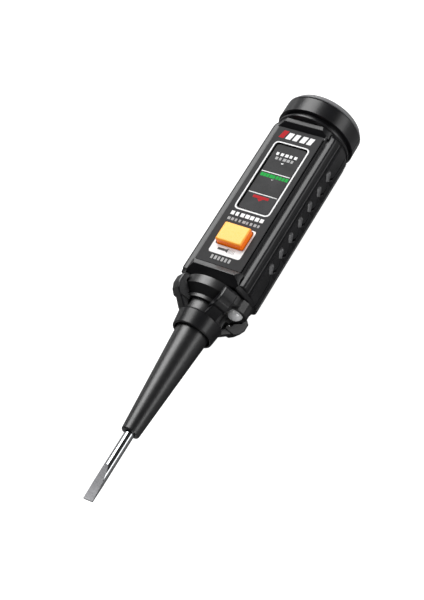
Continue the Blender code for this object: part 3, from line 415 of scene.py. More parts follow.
COLLAR_START, RIDGE_Y = 56.7, 61.6
LIP_RADIUS, RIDGE_RADIUS = 6.3, 6.95
LUG_RADIUS, LUG_HALF = 12.25, 2.25
NECK_CLEAR, STEP_CLEAR, STEM_INNER = 10.3, 8.1, 6.7
lug = raw_piece("collar_lug", lofted([
    lug_section(61.0, 4.0, 5.75, LUG_HALF * 0.9, 0.2),
    lug_section(61.5, 5.2, 7.1, LUG_HALF * 0.9, 0.3),
    lug_section(63.7, STEM_INNER, 9.5, LUG_HALF * 0.82, 0.35),
    lug_section(63.85, STEM_INNER, 10.3, LUG_HALF, 0.35),
    lug_section(64.95, STEM_INNER, 11.4, LUG_HALF, 0.4),
    lug_section(65.1, STEP_CLEAR - 0.2, 11.5, LUG_HALF, 0.4),
    lug_section(66.2, STEP_CLEAR, 11.97, LUG_HALF, 0.4),
    lug_section(66.9, STEP_CLEAR + 0.8, LUG_RADIUS, LUG_HALF, 0.4),
    lug_section(68.1, NECK_CLEAR, LUG_RADIUS, LUG_HALF, 0.4),
    lug_section(69.2, NECK_CLEAR, LUG_RADIUS, LUG_HALF, 0.4),
    lug_section(70.3, NECK_CLEAR, 11.2, LUG_HALF * 0.88, 0.4),
]), satin_black)
edge_softened(lug, 0.1)
lug.data.transform(Matrix.Rotation(radians(45.0), 4, "Y"))
lug_tree, lug_sockets = ring_tree()
ring = lug.modifiers.new("four_lugs", "NODES")
ring.node_group = lug_tree
ring[lug_sockets["Count"]] = 4
ring[lug_sockets["Finish"]] = satin_black
baked(lug)
collar_outline = rounded(
    [(COLLAR_START, 5.65), (COLLAR_START, LIP_RADIUS - 0.12), (COLLAR_START + 0.35, LIP_RADIUS),
     (RIDGE_Y - 0.3, RIDGE_RADIUS - 0.12), (RIDGE_Y, RIDGE_RADIUS), (RIDGE_Y + 0.25, RIDGE_RADIUS - 0.3),
     (RIDGE_Y + 0.25, BORE + 0.2), (RIDGE_Y - 1.3, BORE + 0.2), (RIDGE_Y - 1.3, 5.55)],
    [0.1, 0.15, 0.3, 0.3, 0.12, 0.1, 0.0, 0.0, 0.1])
collar = raw_piece("collar_moulding", turned(collar_outline, 128), satin_black)
joined(collar, lug)
fitted(collar, "housing", "satin_black", "front_collar")

# ------------------------------------------------------------ nose moulding
# The glossy black core that holds the rod: a stepped hub, a cone and a broad neck in front of
# the handle, with a twelve-sided hood on its right that shrouds the torch.
HUB_RADIUS, STEP_RADIUS, NECK_RADIUS, TENON_RADIUS = 6.35, 7.5, 10.0, 6.1
NOSE_STEP, CONE_START, NECK_RIM, NECK_END, TENON_END = 65.0, 66.1, 68.1, 70.9, 76.8
led_low, led_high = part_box("torch_led")
LED_X = (led_low.x + led_high.x) * 500.0
LED_RADIUS = (led_high.x - led_low.x) * 500.0
LED_TIP = (led_low.y - pen_start) * 1000.0
LED_BASE = (led_high.y - pen_start) * 1000.0


def carved(piece, tool, operation="DIFFERENCE"):
    """Cut the tool out of the piece, or weld it on, and throw the tool away."""
    step = piece.modifiers.new("carving", "BOOLEAN")
    step.operation = operation
    step.solver = "EXACT"
    step.object = tool
    baked(piece)
    bpy.data.objects.remove(tool)
    return piece


nose_outline = rounded(
    [(RIDGE_Y + 0.3, BORE), (RIDGE_Y + 0.3, HUB_RADIUS), (NOSE_STEP, HUB_RADIUS), (NOSE_STEP, STEP_RADIUS),
     (CONE_START, STEP_RADIUS), (CONE_START + 0.25, STEP_RADIUS + 0.3), (NECK_RIM, NECK_RADIUS),
     (NECK_END, NECK_RADIUS), (NECK_END, TENON_RADIUS), (71.5, TENON_RADIUS), (71.5, 5.2), (74.2, 5.2),
     (74.2, TENON_RADIUS), (TENON_END, TENON_RADIUS), (TENON_END, BORE)],
    [0.0, 0.2, 0.1, 0.15, 0.1, 0.0, 0.16, 0.15, 0.0, 0.0, 0.0, 0.0, 0.0, 0.2, 0.0])
nose = raw_piece("nose_moulding", turned(nose_outline, 144), gloss_black)
hood_radius = LED_RADIUS + 1.25
hood = raw_piece("torch_hood", turned(rounded(
    [(NECK_RIM - 0.9, 0.0), (NECK_RIM - 0.9, hood_radius), (NECK_END, hood_radius), (NECK_END, 0.0)],
    [0.0, 0.18, 0.1, 0.0], 2), 12, (LED_X, 0.0)), gloss_black)
carved(nose, hood, "UNION")
seat_radius = LED_RADIUS + 0.15
carved(nose, raw_piece("torch_seat", turned(
    [(LED_TIP - 3.0, 0.0), (LED_TIP - 3.0, seat_radius), (LED_BASE + 0.3, seat_radius),
     (LED_BASE + 0.3, 0.0)], 48, (LED_X, 0.0))))
fitted(nose, "housing", "gloss_black", "nose_core", smooth=25)

# ------------------------------------------------------------ torch LED
# A 5 mm lamp cast in clear epoxy, domed at the front and stepped at its flange.  Inside stand the
# plated lead frame and the cup with its yellow phosphor; two leads turn in towards the board.
clear_epoxy = mottled("clear_epoxy", (0.97, 0.98, 0.99), 0.06, tone=0.01, patch=4.0, vary=0.02,
                      grain=1.2, relief=0.0)
clear_epoxy.node_tree.nodes["Principled BSDF"].inputs["Transmission Weight"].default_value = 0.35
clear_epoxy.node_tree.nodes["Principled BSDF"].inputs["IOR"].default_value = 1.53
nickel = mottled("nickel_plate", (0.70, 0.68, 0.64), 0.24, 1.0, tone=0.08, patch=1.5, vary=0.06,
                 grain=0.2, relief=0.002)
phosphor = mottled("led_phosphor", (0.86, 0.78, 0.22), 0.5, tone=0.1, patch=0.6, grain=0.08)

led_outline = []
for step in range(13):
    angle = 0.5 * pi * step / 12.0
    led_outline.append((LED_TIP + LED_RADIUS * (1.0 - cos(angle)), LED_RADIUS * sin(angle)))
led_outline += rounded([(LED_BASE - 1.0, LED_RADIUS), (LED_BASE - 0.95, LED_RADIUS + 0.1),
                        (LED_BASE, LED_RADIUS + 0.1), (LED_BASE, 0.0)], [0.0, 0.03, 0.08, 0.0], 3)
led_outline[0] = (LED_TIP, 0.0)
torch_lens = raw_piece("torch_lens", turned(led_outline, 64, (LED_X, 0.0)), clear_epoxy)
fitted(torch_lens, "housing", "clear_epoxy", "torch_led")

cup_y = LED_TIP + 2.2
cup = raw_piece("torch_cup", turned(rounded(
    [(cup_y, 0.62), (cup_y, 0.85), (cup_y + 1.3, 0.45), (LED_BASE - 0.4, 0.4), (LED_BASE - 0.4, 0.0),
     (cup_y + 0.45, 0.0), (cup_y + 0.45, 0.35)], [0.05, 0.05, 0.2, 0.0, 0.0, 0.0, 0.05], 3),
    32, (LED_X, 0.55)), nickel)
post = raw_piece("torch_post", turned(rounded(
    [(cup_y + 0.35, 0.0), (cup_y + 0.35, 0.42), (cup_y + 1.2, 0.28), (LED_BASE - 0.4, 0.25),
     (LED_BASE - 0.4, 0.0)], [0.0, 0.1, 0.1, 0.0, 0.0], 3), 24, (LED_X, -1.1)), nickel)
joined(cup, post)
fitted(cup, "housing", "nickel")
glow = raw_piece("torch_phosphor", turned(
    [(cup_y + 0.12, 0.0), (cup_y + 0.2, 0.4), (cup_y + 0.3, 0.52), (cup_y + 0.44, 0.5),
     (cup_y + 0.44, 0.0)], 32, (LED_X, 0.55)), phosphor)
fitted(glow, "housing", "led_white")


def dressed(surface, *nodes):
    """Give CAD nodes whose shape is right their finish."""
    for node in nodes:
        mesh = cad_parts[node].data
        mesh.materials.clear()
        mesh.materials.append(surface)


dressed(nickel, "torch_lead_anode", "torch_lead_cathode")

# ------------------------------------------------------------ front and rear shells
# Two satin black ABS half shells that meet along the sides.  Each side has a rounded rib, a
# shallow valley and a flat panel; along the panels the joint line runs in waves between the grip
# ridges.  The front shell has a flat for the label, with a sloping ledge at each end.
shell_low, shell_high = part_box("front_shell")
BODY_START = (shell_low.y - pen_start) * 1000.0
HEAD_END = (shell_high.y - pen_start) * 1000.0
HEAD_RADIUS = (shell_high.x - shell_low.x) * 500.0
BODY_RADIUS, RIB_ROOT, RIB_RADIUS, VALLEY_RADIUS, PANEL_X = 11.5, 10.75, 12.4, 11.62, 12.0
PARTING_Z, BACK_Z, SEAM = -1.6, -12.5, 0.13
RIDGE_FIRST, RIDGE_PITCH, RIDGE_COUNT = 84.6, 5.933, 7
flat_heights = [(BODY_START, 6.4), (71.5, 6.6), (73.95, 9.2), (74.08, 9.3), (74.25, 9.29),
                (75.8, 8.6), (75.86, 7.95), (127.6, 7.95), (127.8, 8.0), (129.1, 9.4), (129.3, 9.55),
                (130.35, 9.8), (130.4, 9.8)]
round_radii = [(BODY_START, 10.9), (71.45, 11.2), (72.4, 11.5), (72.7, 11.5), (130.4, 11.5), (130.6, 11.82),
               (130.75, 11.9), (131.2, 11.9), (131.35, 11.8), (131.55, 11.1), (132.45, 11.1),
               (132.62, 12.3), (132.72, 12.45), (132.85, HEAD_RADIUS), (HEAD_END - 0.15, HEAD_RADIUS),
               (HEAD_END, HEAD_RADIUS - 0.15)]
rib_shares = [(BODY_START, 0.0), (72.4, 0.0), (72.62, 0.7), (72.8, 0.9), (73.2, 1.0), (128.2, 1.0),
              (129.2, 0.85), (129.9, 0.5), (130.3, 0.15), (130.4, 0.05), (130.6, 0.0)]


def at(table, y):
    """A value from a table of (place, value) pairs."""
    return float(np.interp(y, [row[0] for row in table], [row[1] for row in table]))


def seam_height(y):
    """The joint line: straight at the ends, a wave with one crest under every grip ridge."""
    last = RIDGE_FIRST + RIDGE_PITCH * (RIDGE_COUNT - 1)
    rise, fall, top, bottom = 3.1, 1.9, 0.5, -1.25
    crest = RIDGE_FIRST - 1.4
    turn = (y - crest) % RIDGE_PITCH
    if y < crest - 2.4 or y > last + 1.8:
        return PARTING_Z
    if turn < rise:
        share = 1.0 - turn / rise
    elif turn > RIDGE_PITCH - fall:
        share = 1.0 - (RIDGE_PITCH - turn) / fall
    else:
        share = 0.0
    eased = share * share * (3.0 - 2.0 * share)
    height = bottom + (top - bottom) * eased
    edge = min(1.0, max(0.0, (y - crest + 2.4) / 0.6), max(0.0, (last + 1.8 - y) / 0.6))
    return PARTING_Z + (height - PARTING_Z) * edge


HEAD_FRONT = 130.4
FLAT_START, FLAT_END, FLAT_HALF = 75.8, 127.9, 7.75
PANEL_POINTS = 9


def turned_out(radius, degrees_up):
    return radius * cos(radians(degrees_up)), radius * sin(radians(degrees_up))


def side_outline(up):
    """The rib, valley and panel on one side of the joint, from the round part to the panel."""
    sign = 1.0 if up else -1.0
    root = RIB_ROOT if up else BODY_RADIUS
    corners = [turned_out(root, 41.0 * sign), turned_out(11.45, 38.6 * sign),
               turned_out(RIB_RADIUS + 0.2, 34.0 * sign), turned_out(12.3, 27.0 * sign),
               turned_out(VALLEY_RADIUS, 21.5 * sign), (PANEL_X, 3.9 * sign),
               (PANEL_X - 0.3, 3.6 * sign), (PANEL_X - 0.3, 1.6 * sign)]
    return rounded(corners, [0.0, 0.8, 2.6, 1.6, 0.8, 0.16, 0.16, 0.0], 5, closed=False)


def blended(points, y):
    """Fade the outline into a plain circle where the body is round."""
    share, radius = at(rib_shares, y), at(round_radii, y)
    out = []
    for x, z in points:
        reach = sqrt(x * x + z * z)
        keep = share + (1.0 - share) * radius / reach
        out.append((x * keep, z * keep))
    return out


def front_outline(y):
    """Right half of the front shell, from the middle of the label down to the joint."""
    radius, flat = at(round_radii, y), at(flat_heights, y)
    if y > HEAD_FRONT:
        top = [turned_out(radius, 90.0 - 49.0 * step / 15.0) for step in range(15)]
    else:
        edge = asin(flat / radius) * 180.0 / pi
        on_flat = FLAT_START < y < FLAT_END
        half = turned_out(radius, edge)[0]
        if on_flat:
            half = min(half, FLAT_HALF)
        top = [(half * step / 6.0, flat) for step in range(6)]
        end = turned_out(RIB_ROOT, 41.0)
        for step in range(9):
            share = step / 9.0
            x, z = turned_out(radius, edge + (41.0 - edge) * share)
            straight = (half + (end[0] - half) * share, flat + (end[1] - flat) * share)
            top.append(straight if on_flat else (x, z))
    side = side_outline(True)
    low = seam_height(y) + SEAM
    side[-1:] = [(PANEL_X - 0.3, 3.2 + (low - 3.2) * step / (PANEL_POINTS - 1.0))
                 for step in range(PANEL_POINTS)]
    return top + blended(side, y)[:-PANEL_POINTS] + panel_points(side[-PANEL_POINTS:], y)


def panel_points(true, y):
    """Keep the panel's points at their own heights, so that the joint line stays where it is."""
    share, radius = at(rib_shares, y), at(round_radii, y)
    out = []
    for x, z in true:
        out.append((x * share + (1.0 - share) * sqrt(radius ** 2 - z ** 2), z))
    return out


def rear_outline(y):
    """Right half of the rear shell, from the joint down to the middle of the back."""
    high = seam_height(y) - SEAM
    side = list(reversed(side_outline(False)))
    panel = [(PANEL_X - 0.3, high + (-3.2 - high) * step / (PANEL_POINTS - 1.0))
             for step in range(PANEL_POINTS)]
    bottom = rounded([turned_out(BODY_RADIUS, -41.0), turned_out(BODY_RADIUS, -50.0), (4.5, BACK_Z),
                      (0.0, BACK_Z)], [0.0, 1.0, 1.2, 0.0], 4, closed=False)[1:]
    flat_part = bottom[-1]
    bottom[-1:] = [(4.0 * (1.0 - step / 4.0), flat_part[1]) for step in range(5)]
    return panel_points(panel, y) + blended(side[1:] + bottom, y)


places = {row[0] for table in (flat_heights, round_radii, rib_shares) for row in table}
places |= set(np.arange(74.5, 130.0, 1.5).tolist())
wave_start = RIDGE_FIRST - 1.4 - 2.6
places |= set(np.arange(wave_start, RIDGE_FIRST + RIDGE_PITCH * 6 + 2.0, 0.27).tolist())
stations = []
for y in sorted(places):
    if not stations or y - stations[-1] > 0.03:
        stations.append(y)
stations[-1] = HEAD_END


def both_sides(points, y):
    """Close the right-hand outline with its mirror image."""
    right_side = [(max(x, 0.0), y, z) for x, z in points]
    return right_side + [(-x, y, z) for x, y, z in reversed(right_side)]


shell_front = raw_piece("shell_front_moulding", lofted([both_sides(front_outline(y), y) for y in stations]),
                        satin_black)
shell_rear = raw_piece("shell_rear_moulding", lofted([both_sides(rear_outline(y), y) for y in stations]),
                       satin_black)


def inner_room(name):
    """The hollow inside both shells: the nose's seat, the electronics bay and the cap's bore."""
    rows = [(BODY_START - 0.5, 6.4, 30.0), (71.8, 6.4, 30.0), (71.81, 5.5, 30.0), (73.9, 5.5, 30.0),
            (73.91, 9.9, 6.5), (130.1, 9.9, 6.5), (130.4, 9.9, 30.0), (HEAD_END + 0.5, 9.9, 30.0)]
    sections = []
    for y, radius, ceiling in rows:
        angles = [2.0 * pi * step / 64.0 for step in range(64)]
        sections.append([(radius * cos(a), y, min(radius * sin(a), ceiling)) for a in angles])
    return raw_piece(name, lofted(sections))


def upright(name, x, y, low, high, radius, sides=40, material=None):
    """A round post or drill that stands across the pen."""
    angles = [2.0 * pi * step / sides for step in range(sides)]
    circles = [[(x + radius * cos(a), y + radius * sin(a), z) for a in angles] for z in (low, high)]
    return raw_piece(name, lofted(circles), *([material] if material else []))


def rounded_box(half_x, y0, y1, corner, steps=6):
    """Outline of a rectangle with rounded corners, on the label."""
    points = [(-half_x, y0), (half_x, y0), (half_x, y1), (-half_x, y1)]
    return rounded([(x, y, 0.0) for x, y in points], [corner] * 4, steps)


def slab(name, outline, low, high, *materials):
    """A flat piece with straight sides."""
    sections = [[(point[0], point[1], z) for point in outline] for z in (low, high)]
    return raw_piece(name, lofted(sections), *materials)


button_low, button_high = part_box("button_cap")
lens_low, lens_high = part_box("window_lens")
WINDOW_HALF = lens_high.x * 1000.0 + 0.3
WINDOW_START = (lens_low.y - pen_start) * 1000.0 - 0.3
WINDOW_END = (lens_high.y - pen_start) * 1000.0 + 0.3
BUTTON_HALF, BUTTON_START, BUTTON_END = 4.35, 82.8, 89.4
SCREW_PLACES = ((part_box("shell_screw_1")[0].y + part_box("shell_screw_1")[1].y) * 500.0 - pen_start * 1000.0,
                (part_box("shell_screw_2")[0].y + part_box("shell_screw_2")[1].y) * 500.0 - pen_start * 1000.0)
SCREW_SEAT = BACK_Z + 3.4

carved(shell_front, inner_room("front_room"))
carved(shell_rear, inner_room("rear_room"))
carved(shell_front, slab("lens_seat", rounded_box(WINDOW_HALF, WINDOW_START, WINDOW_END, 1.1), 7.1, 14.0))
light_opening = rounded_box(WINDOW_HALF - 0.6, WINDOW_START + 0.6, WINDOW_END - 0.6, 0.8)
carved(shell_front, slab("light_well", light_opening, 6.0, 8.0))
button_opening = rounded_box(BUTTON_HALF + 0.3, BUTTON_START - 0.3, BUTTON_END + 0.3, 0.9)
carved(shell_front, slab("button_well", button_opening, 6.0, 14.0))
for number, y in enumerate(SCREW_PLACES):
    carved(shell_rear, upright(f"rear_boss_{number}", 0.0, y, -10.2, PARTING_Z - 0.15, 2.1), "UNION")
    carved(shell_rear, upright(f"head_recess_{number}", 0.0, y, BACK_Z - 1.0, SCREW_SEAT, 1.9))
    carved(shell_rear, upright(f"rear_hole_{number}", 0.0, y, BACK_Z - 1.0, PARTING_Z + 1.0, 1.0))
fitted(shell_front, "housing", "satin_black", "front_shell", smooth=24)
fitted(shell_rear, "housing", "satin_black", "rear_shell", smooth=24)

# ------------------------------------------------------------ grip ridges
# Seven ridges stand on each side panel, moulded with the shells.  The upper part of each is a
# teardrop on the front shell, painted paler than the shell as a highlight; below the joint it goes
# on as a leaf on the rear shell.


def row_tree():
    """Geometry nodes that repeat a piece in a straight row."""
    tree = bpy.data.node_groups.new("row_of_pieces", "GeometryNodeTree")
    sockets = {}
    for label, kind in (("Piece", "Geometry"), ("Count", "Int"), ("Step", "Vector"), ("Finish", "Material"),
                        ("Shortest", "Float"), ("Longest", "Float"), ("Seed", "Int")):
        sockets[label] = tree.interface.new_socket(
            label, in_out="INPUT", socket_type=f"NodeSocket{kind}").identifier
    tree.interface.new_socket("Row", in_out="OUTPUT", socket_type="NodeSocketGeometry")
    new, link = tree.nodes.new, tree.links.new
    given, result = new("NodeGroupInput"), new("NodeGroupOutput")
    line = new("GeometryNodeMeshLine")
    link(given.outputs["Count"], line.inputs["Count"])
    link(given.outputs["Step"], line.inputs["Offset"])
    length = new("FunctionNodeRandomValue")
    length.data_type = "FLOAT"
    link(given.outputs["Shortest"], length.inputs[2])
    link(given.outputs["Longest"], length.inputs[3])
    link(given.outputs["Seed"], length.inputs["Seed"])
    size = new("ShaderNodeCombineXYZ")
    size.inputs["Y"].default_value = 1.0
    size.inputs["Z"].default_value = 1.0
    link(length.outputs[1], size.inputs["X"])
    copies = new("GeometryNodeInstanceOnPoints")
    link(line.outputs["Mesh"], copies.inputs["Points"])
    link(given.outputs["Piece"], copies.inputs["Instance"])
    link(size.outputs[0], copies.inputs["Scale"])
    real = new("GeometryNodeRealizeInstances")
    link(copies.outputs[0], real.inputs[0])
    finish = new("GeometryNodeSetMaterial")
    link(real.outputs[0], finish.inputs["Geometry"])
    link(given.outputs["Finish"], finish.inputs["Material"])
    link(finish.outputs[0], result.inputs[0])
    return tree, sockets


row_nodes, row_sockets = row_tree()


def in_row(piece, count, step, material, shortest=1.0, longest=1.0, seed=1):
    """Repeat the piece; the first one stays where it was made."""
    rows = piece.modifiers.new("row", "NODES")
    rows.node_group = row_nodes
    for label, value in (("Count", count), ("Step", step), ("Finish", material), ("Shortest", shortest),
                         ("Longest", longest), ("Seed", seed)):
        rows[row_sockets[label]] = value
    return baked(piece)


RIDGE_STATIONS, RIDGE_ARC = 22, 16


def grip_ridge(name, start, end, half_width, height, head, tail, above):
    """One ridge on the right panel and its mirror image on the left."""
    start, end = Vector(start), Vector(end)
    along = (end - start).normalized()
    across = Vector((-along.y, along.x))
    halves = []
    for side in (1.0, -1.0):
        sections = []
        for step in range(RIDGE_STATIONS + 1):
            share = step / RIDGE_STATIONS
            if share < head:
                size = sqrt(max(0.0, 1.0 - (1.0 - share / head) ** 2))
            else:
                fade = (share - head) / (1.0 - head)
                size = 1.0 + (tail - 1.0) * fade ** 1.2
            size = max(size, 0.02)
            middle = start + (end - start) * share
            section = []
            for turn in range(RIDGE_ARC + 1):
                wide = -cos(pi * turn / RIDGE_ARC)
                spot = middle + across * (half_width * size * wide)
                seam = seam_height(spot.x)
                z = max(spot.y, seam + SEAM) if above else min(spot.y, seam - SEAM)
                rise = height * size * (1.0 - abs(wide) ** 1.5)
                section.append((side * (PANEL_X - 0.3 + rise), spot.x, z))
            for turn in range(RIDGE_ARC, -1, -1):
                _, y, z = section[turn]
                section.append((side * (PANEL_X - 0.75), y, z))
            sections.append(section)
        halves.append(raw_piece(name, lofted(sections), satin_black))
    return joined(halves[0], halves[1])


# Painted highlight: the front teardrops are a paler black than the shell, standing in for the light they
# catch.
ridge_painted_highlight_black = mottled("ridge_painted_highlight_black", (0.085, 0.085, 0.088), 0.36, tone=0.3, patch=1.5, vary=0.05, grain=0.22,
                     relief=0.002, specular=0.5)
ridge_step = (0.0, RIDGE_PITCH, 0.0)
front_ridges = grip_ridge("grip_ridges_front", (RIDGE_FIRST + 0.25, 3.3), (RIDGE_FIRST - 1.75, 0.75),
                          1.0, 0.85, 0.3, 0.72, True)
in_row(front_ridges, RIDGE_COUNT, ridge_step, ridge_painted_highlight_black)
fitted(front_ridges, "housing", "satin_black", smooth=60)
rear_ridges = grip_ridge("grip_ridges_rear", (RIDGE_FIRST - 0.15, 0.6), (RIDGE_FIRST - 0.75, -3.45),
                         1.35, 0.85, 0.22, 0.1, False)
in_row(rear_ridges, RIDGE_COUNT, ridge_step, satin_black)
fitted(rear_ridges, "housing", "satin_black", smooth=60)

# ------------------------------------------------------------ shell screws
# Two zinc-plated pan-head screws sunk in the back hold the shells together.
zinc = mottled("zinc_plate", (0.58, 0.59, 0.62), 0.32, 1.0, tone=0.12, patch=1.0, vary=0.1, grain=0.15,
               relief=0.003)
screw_mesh = turned(rounded(
    [(SCREW_SEAT - 1.4, 0.0), (SCREW_SEAT - 1.35, 1.1), (SCREW_SEAT - 1.0, 1.55), (SCREW_SEAT - 0.35, 1.6),
     (SCREW_SEAT - 0.35, 0.85), (5.2, 0.85), (5.6, 0.5), (5.6, 0.0)],
    [0.0, 0.4, 0.25, 0.08, 0.1, 0.1, 0.1, 0.0], 3), 40)
screw = raw_piece("shell_screws_back", screw_mesh, zinc)
screw.data.transform(Matrix.Rotation(radians(90.0), 4, "X"))
screw.data.transform(Matrix.Translation((0.0, SCREW_PLACES[0], 0.0)))
for wide, long in ((0.85, 0.18), (0.18, 0.85)):
    cross = rounded([(-wide, -long, 0.0), (wide, -long, 0.0), (wide, long, 0.0), (-wide, long, 0.0)],
                    [0.08] * 4, 2)
    cross = [(x, y + SCREW_PLACES[0], z) for x, y, z in cross]
    carved(screw, slab("cross", cross, SCREW_SEAT - 2.0, SCREW_SEAT - 0.75))
in_row(screw, 2, (0.0, SCREW_PLACES[1] - SCREW_PLACES[0], 0.0), zinc)
fitted(screw, "housing", "zinc", "shell_screw_1", "shell_screw_2")

# ------------------------------------------------------------ label plate and its print
# A thin dark grey plate stuck on the flat.  It is screen printed: a white frame round the window,
# a white field round the button, and plain bars and wedges where a maker would put wording.
plate_low, plate_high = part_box("label_plate")
PLATE_HALF = plate_high.x * 1000.0
PLATE_START = (plate_low.y - pen_start) * 1000.0
PLATE_END = (plate_high.y - pen_start) * 1000.0
PLATE_TOP = (plate_high.z - axis_height) * 1000.0
plate_grey = mottled("plate_grey", (0.030, 0.030, 0.031), 0.55, tone=0.1, patch=4.0, vary=0.05,
                     grain=0.18, relief=0.003, specular=0.1)
print_white, print_grey, print_dark, print_red, print_green = (
    mottled(name, colour, 0.5, tone=0.06, patch=1.5, grain=0.12, relief=0.002, specular=0.08)
    for name, colour in (("print_white", (0.86, 0.86, 0.86)), ("print_grey", (0.40, 0.40, 0.40)),
                         ("print_dark", (0.08, 0.08, 0.08)), ("print_red", (0.42, 0.006, 0.012)),
                         ("print_green", (0.006, 0.36, 0.05))))

plate = slab("label_plate_panel", rounded_box(PLATE_HALF, PLATE_START, PLATE_END, 0.25, 3),
             PLATE_TOP - 0.4, PLATE_TOP, plate_grey)
edge_softened(plate, 0.13)
carved(plate, slab("plate_window", rounded_box(WINDOW_HALF, WINDOW_START, WINDOW_END, 1.1), 7.0, 12.0))
carved(plate, slab("plate_button", rounded_box(BUTTON_HALF + 0.3, BUTTON_START - 0.3, BUTTON_END + 0.3, 0.9),
                   7.0, 12.0))
fitted(plate, "housing", "plate_grey", "label_plate")


def printed(name, outline, material, top=PLATE_TOP, slot="plate_grey"):
    """A patch of ink on a flat face."""
    return fitted(slab(name, outline, top - 0.03, top + 0.025, material), "housing", slot)


def printed_ring(name, outer, inner, material, top=PLATE_TOP):
    """A closed printed line between two outlines."""
    loops = [[(p[0], p[1], z) for p in outline]
             for outline, z in ((outer, top - 0.03), (outer, top + 0.025), (inner, top + 0.025),
                                (inner, top - 0.03), (outer, top - 0.03))]
    return fitted(raw_piece(name, lofted(loops, closed_ends=False), material), "housing", "plate_grey")


def bar(x, y, length, height, lean=0.0):
    """Outline of a bar that may lean."""
    return [(x, y, 0.0), (x + length, y, 0.0), (x + length + lean, y + height, 0.0),
            (x + lean, y + height, 0.0)]


def bar_row(name, x, y, length, height, count, pitch, material, shortest, longest, seed, top=PLATE_TOP,
            lean=0.0):
    """A row of bars in place of a line of wording."""
    outline = bar(0.0, 0.0, length, height, lean)
    piece = slab(name, outline, top - 0.03, top + 0.025, material)
    in_row(piece, count, (pitch, 0.0, 0.0), material, shortest, longest, seed)
    piece.data.transform(Matrix.Translation((x, y, 0.0)))
    return fitted(piece, "housing", "plate_grey")


printed_ring("print_window_frame",
             rounded_box(WINDOW_HALF + 0.62, WINDOW_START - 0.8, WINDOW_END + 0.35, 1.7),
             rounded_box(WINDOW_HALF + 0.17, WINDOW_START - 0.35, WINDOW_END - 0.05, 1.3), print_white)
printed_ring("print_button_field", rounded_box(5.25, 79.4, 90.0, 0.9),
             rounded_box(BUTTON_HALF + 0.32, BUTTON_START - 0.32, BUTTON_END + 0.32, 0.9), print_white)
printed("print_mark_red", bar(-5.9, 123.6, 1.7, 2.9, 0.7), print_red)
bar_row("print_mark_white", -3.6, 123.6, 1.75, 2.5, 4, 2.35, print_white, 0.86, 1.0, 4, lean=0.5)
bar_row("print_line_bold", -5.6, 93.3, 1.35, 1.35, 7, 1.62, print_white, 0.55, 1.0, 11)
bar_row("print_line_thin", -5.6, 91.4, 1.0, 0.95, 9, 1.25, print_grey, 0.6, 1.0, 7)
bar_row("print_line_low", -3.4, 77.4, 0.75, 1.35, 6, 1.15, print_grey, 0.7, 1.0, 5)
printed("print_torch_handle", bar(-2.9, 80.85, 2.4, 0.75), print_dark, PLATE_TOP + 0.03)
printed("print_torch_head", [(-0.5, 80.95, 0.0), (0.5, 80.5, 0.0), (0.5, 81.95, 0.0), (-0.5, 81.5, 0.0)],
        print_dark, PLATE_TOP + 0.03)
bar_row("print_torch_rays", 0.75, 80.5, 0.16, 1.45, 5, 0.42, print_grey, 1.0, 1.0, 3, PLATE_TOP + 0.03)

# ------------------------------------------------------------ window and its light cells
# A smoked acrylic lens sits just below the plate.  Two white lines part it into three zones, each
# with a small coloured or white pointer; behind it a black baffle parts the indicator lights.
smoked = mottled("smoked_acrylic", (0.018, 0.018, 0.019), 0.3, tone=0.45, patch=6.0, vary=0.04, grain=0.5,
                 relief=0.002, specular=0.08)
LENS_TOP = (lens_high.z - axis_height) * 1000.0
LENS_HALF = lens_high.x * 1000.0
lens = slab("window_glazing", rounded_box(LENS_HALF, WINDOW_START + 0.3, WINDOW_END - 0.3, 1.0),
            LENS_TOP - 0.8, LENS_TOP, smoked)
edge_softened(lens, 0.08)
fitted(lens, "housing", "smoked_lens", "window_lens")
ZONE_LINES = (102.9, 111.0)
for number, y in enumerate(ZONE_LINES):
    printed(f"print_zone_line_{number + 1}", bar(-4.75, y - 0.14, 9.5, 0.28), print_white, LENS_TOP)
bar_row("print_zone_top_a", -3.6, 117.6, 1.2, 1.05, 5, 1.5, print_white, 0.6, 1.0, 2, LENS_TOP)
bar_row("print_zone_top_b", -3.1, 116.0, 1.0, 1.0, 5, 1.3, print_grey, 0.7, 1.0, 9, LENS_TOP)
bar_row("print_zone_middle", -4.5, 109.2, 0.98, 1.25, 9, 1.03, print_green, 0.75, 1.04, 6, LENS_TOP)
printed("print_zone_low", bar(-2.6, 101.3, 5.2, 0.95), print_red, LENS_TOP)
for name, y, half, material in (("print_pointer_top", 115.2, 0.5, print_white),
                                ("print_pointer_middle", 108.8, 0.45, print_grey),
                                ("print_pointer_low", 101.25, 0.95, print_red)):
    printed(name, [(-half, y, 0.0), (0.0, y - half, 0.0), (half, y, 0.0)], material, LENS_TOP)
baffle_black = mottled("baffle_black", (0.03, 0.03, 0.03), 0.6, tone=0.2, patch=3.0, grain=0.3)
dressed(baffle_black, "light_baffle")

# ------------------------------------------------------------ torch button
# A moulded amber key with soft edges and a slightly crowned top.  Its flange stops it from inside
# the front shell, and it moves straight down against the switch.
amber = mottled("amber_plastic_painted_glow_and_top_light", (0.85, 0.16, 0.006), 0.28, tone=0.06, patch=2.0, vary=0.04, grain=0.4,
                relief=0.002, specular=0.25)
amber_nodes = amber.node_tree
# Painted glow: a weak orange emission makes the key glow, though it holds no lamp.
amber_nodes.nodes["Principled BSDF"].inputs["Emission Color"].default_value = (1.0, 0.16, 0.005, 1.0)
amber_nodes.nodes["Principled BSDF"].inputs["Emission Strength"].default_value = 0.22
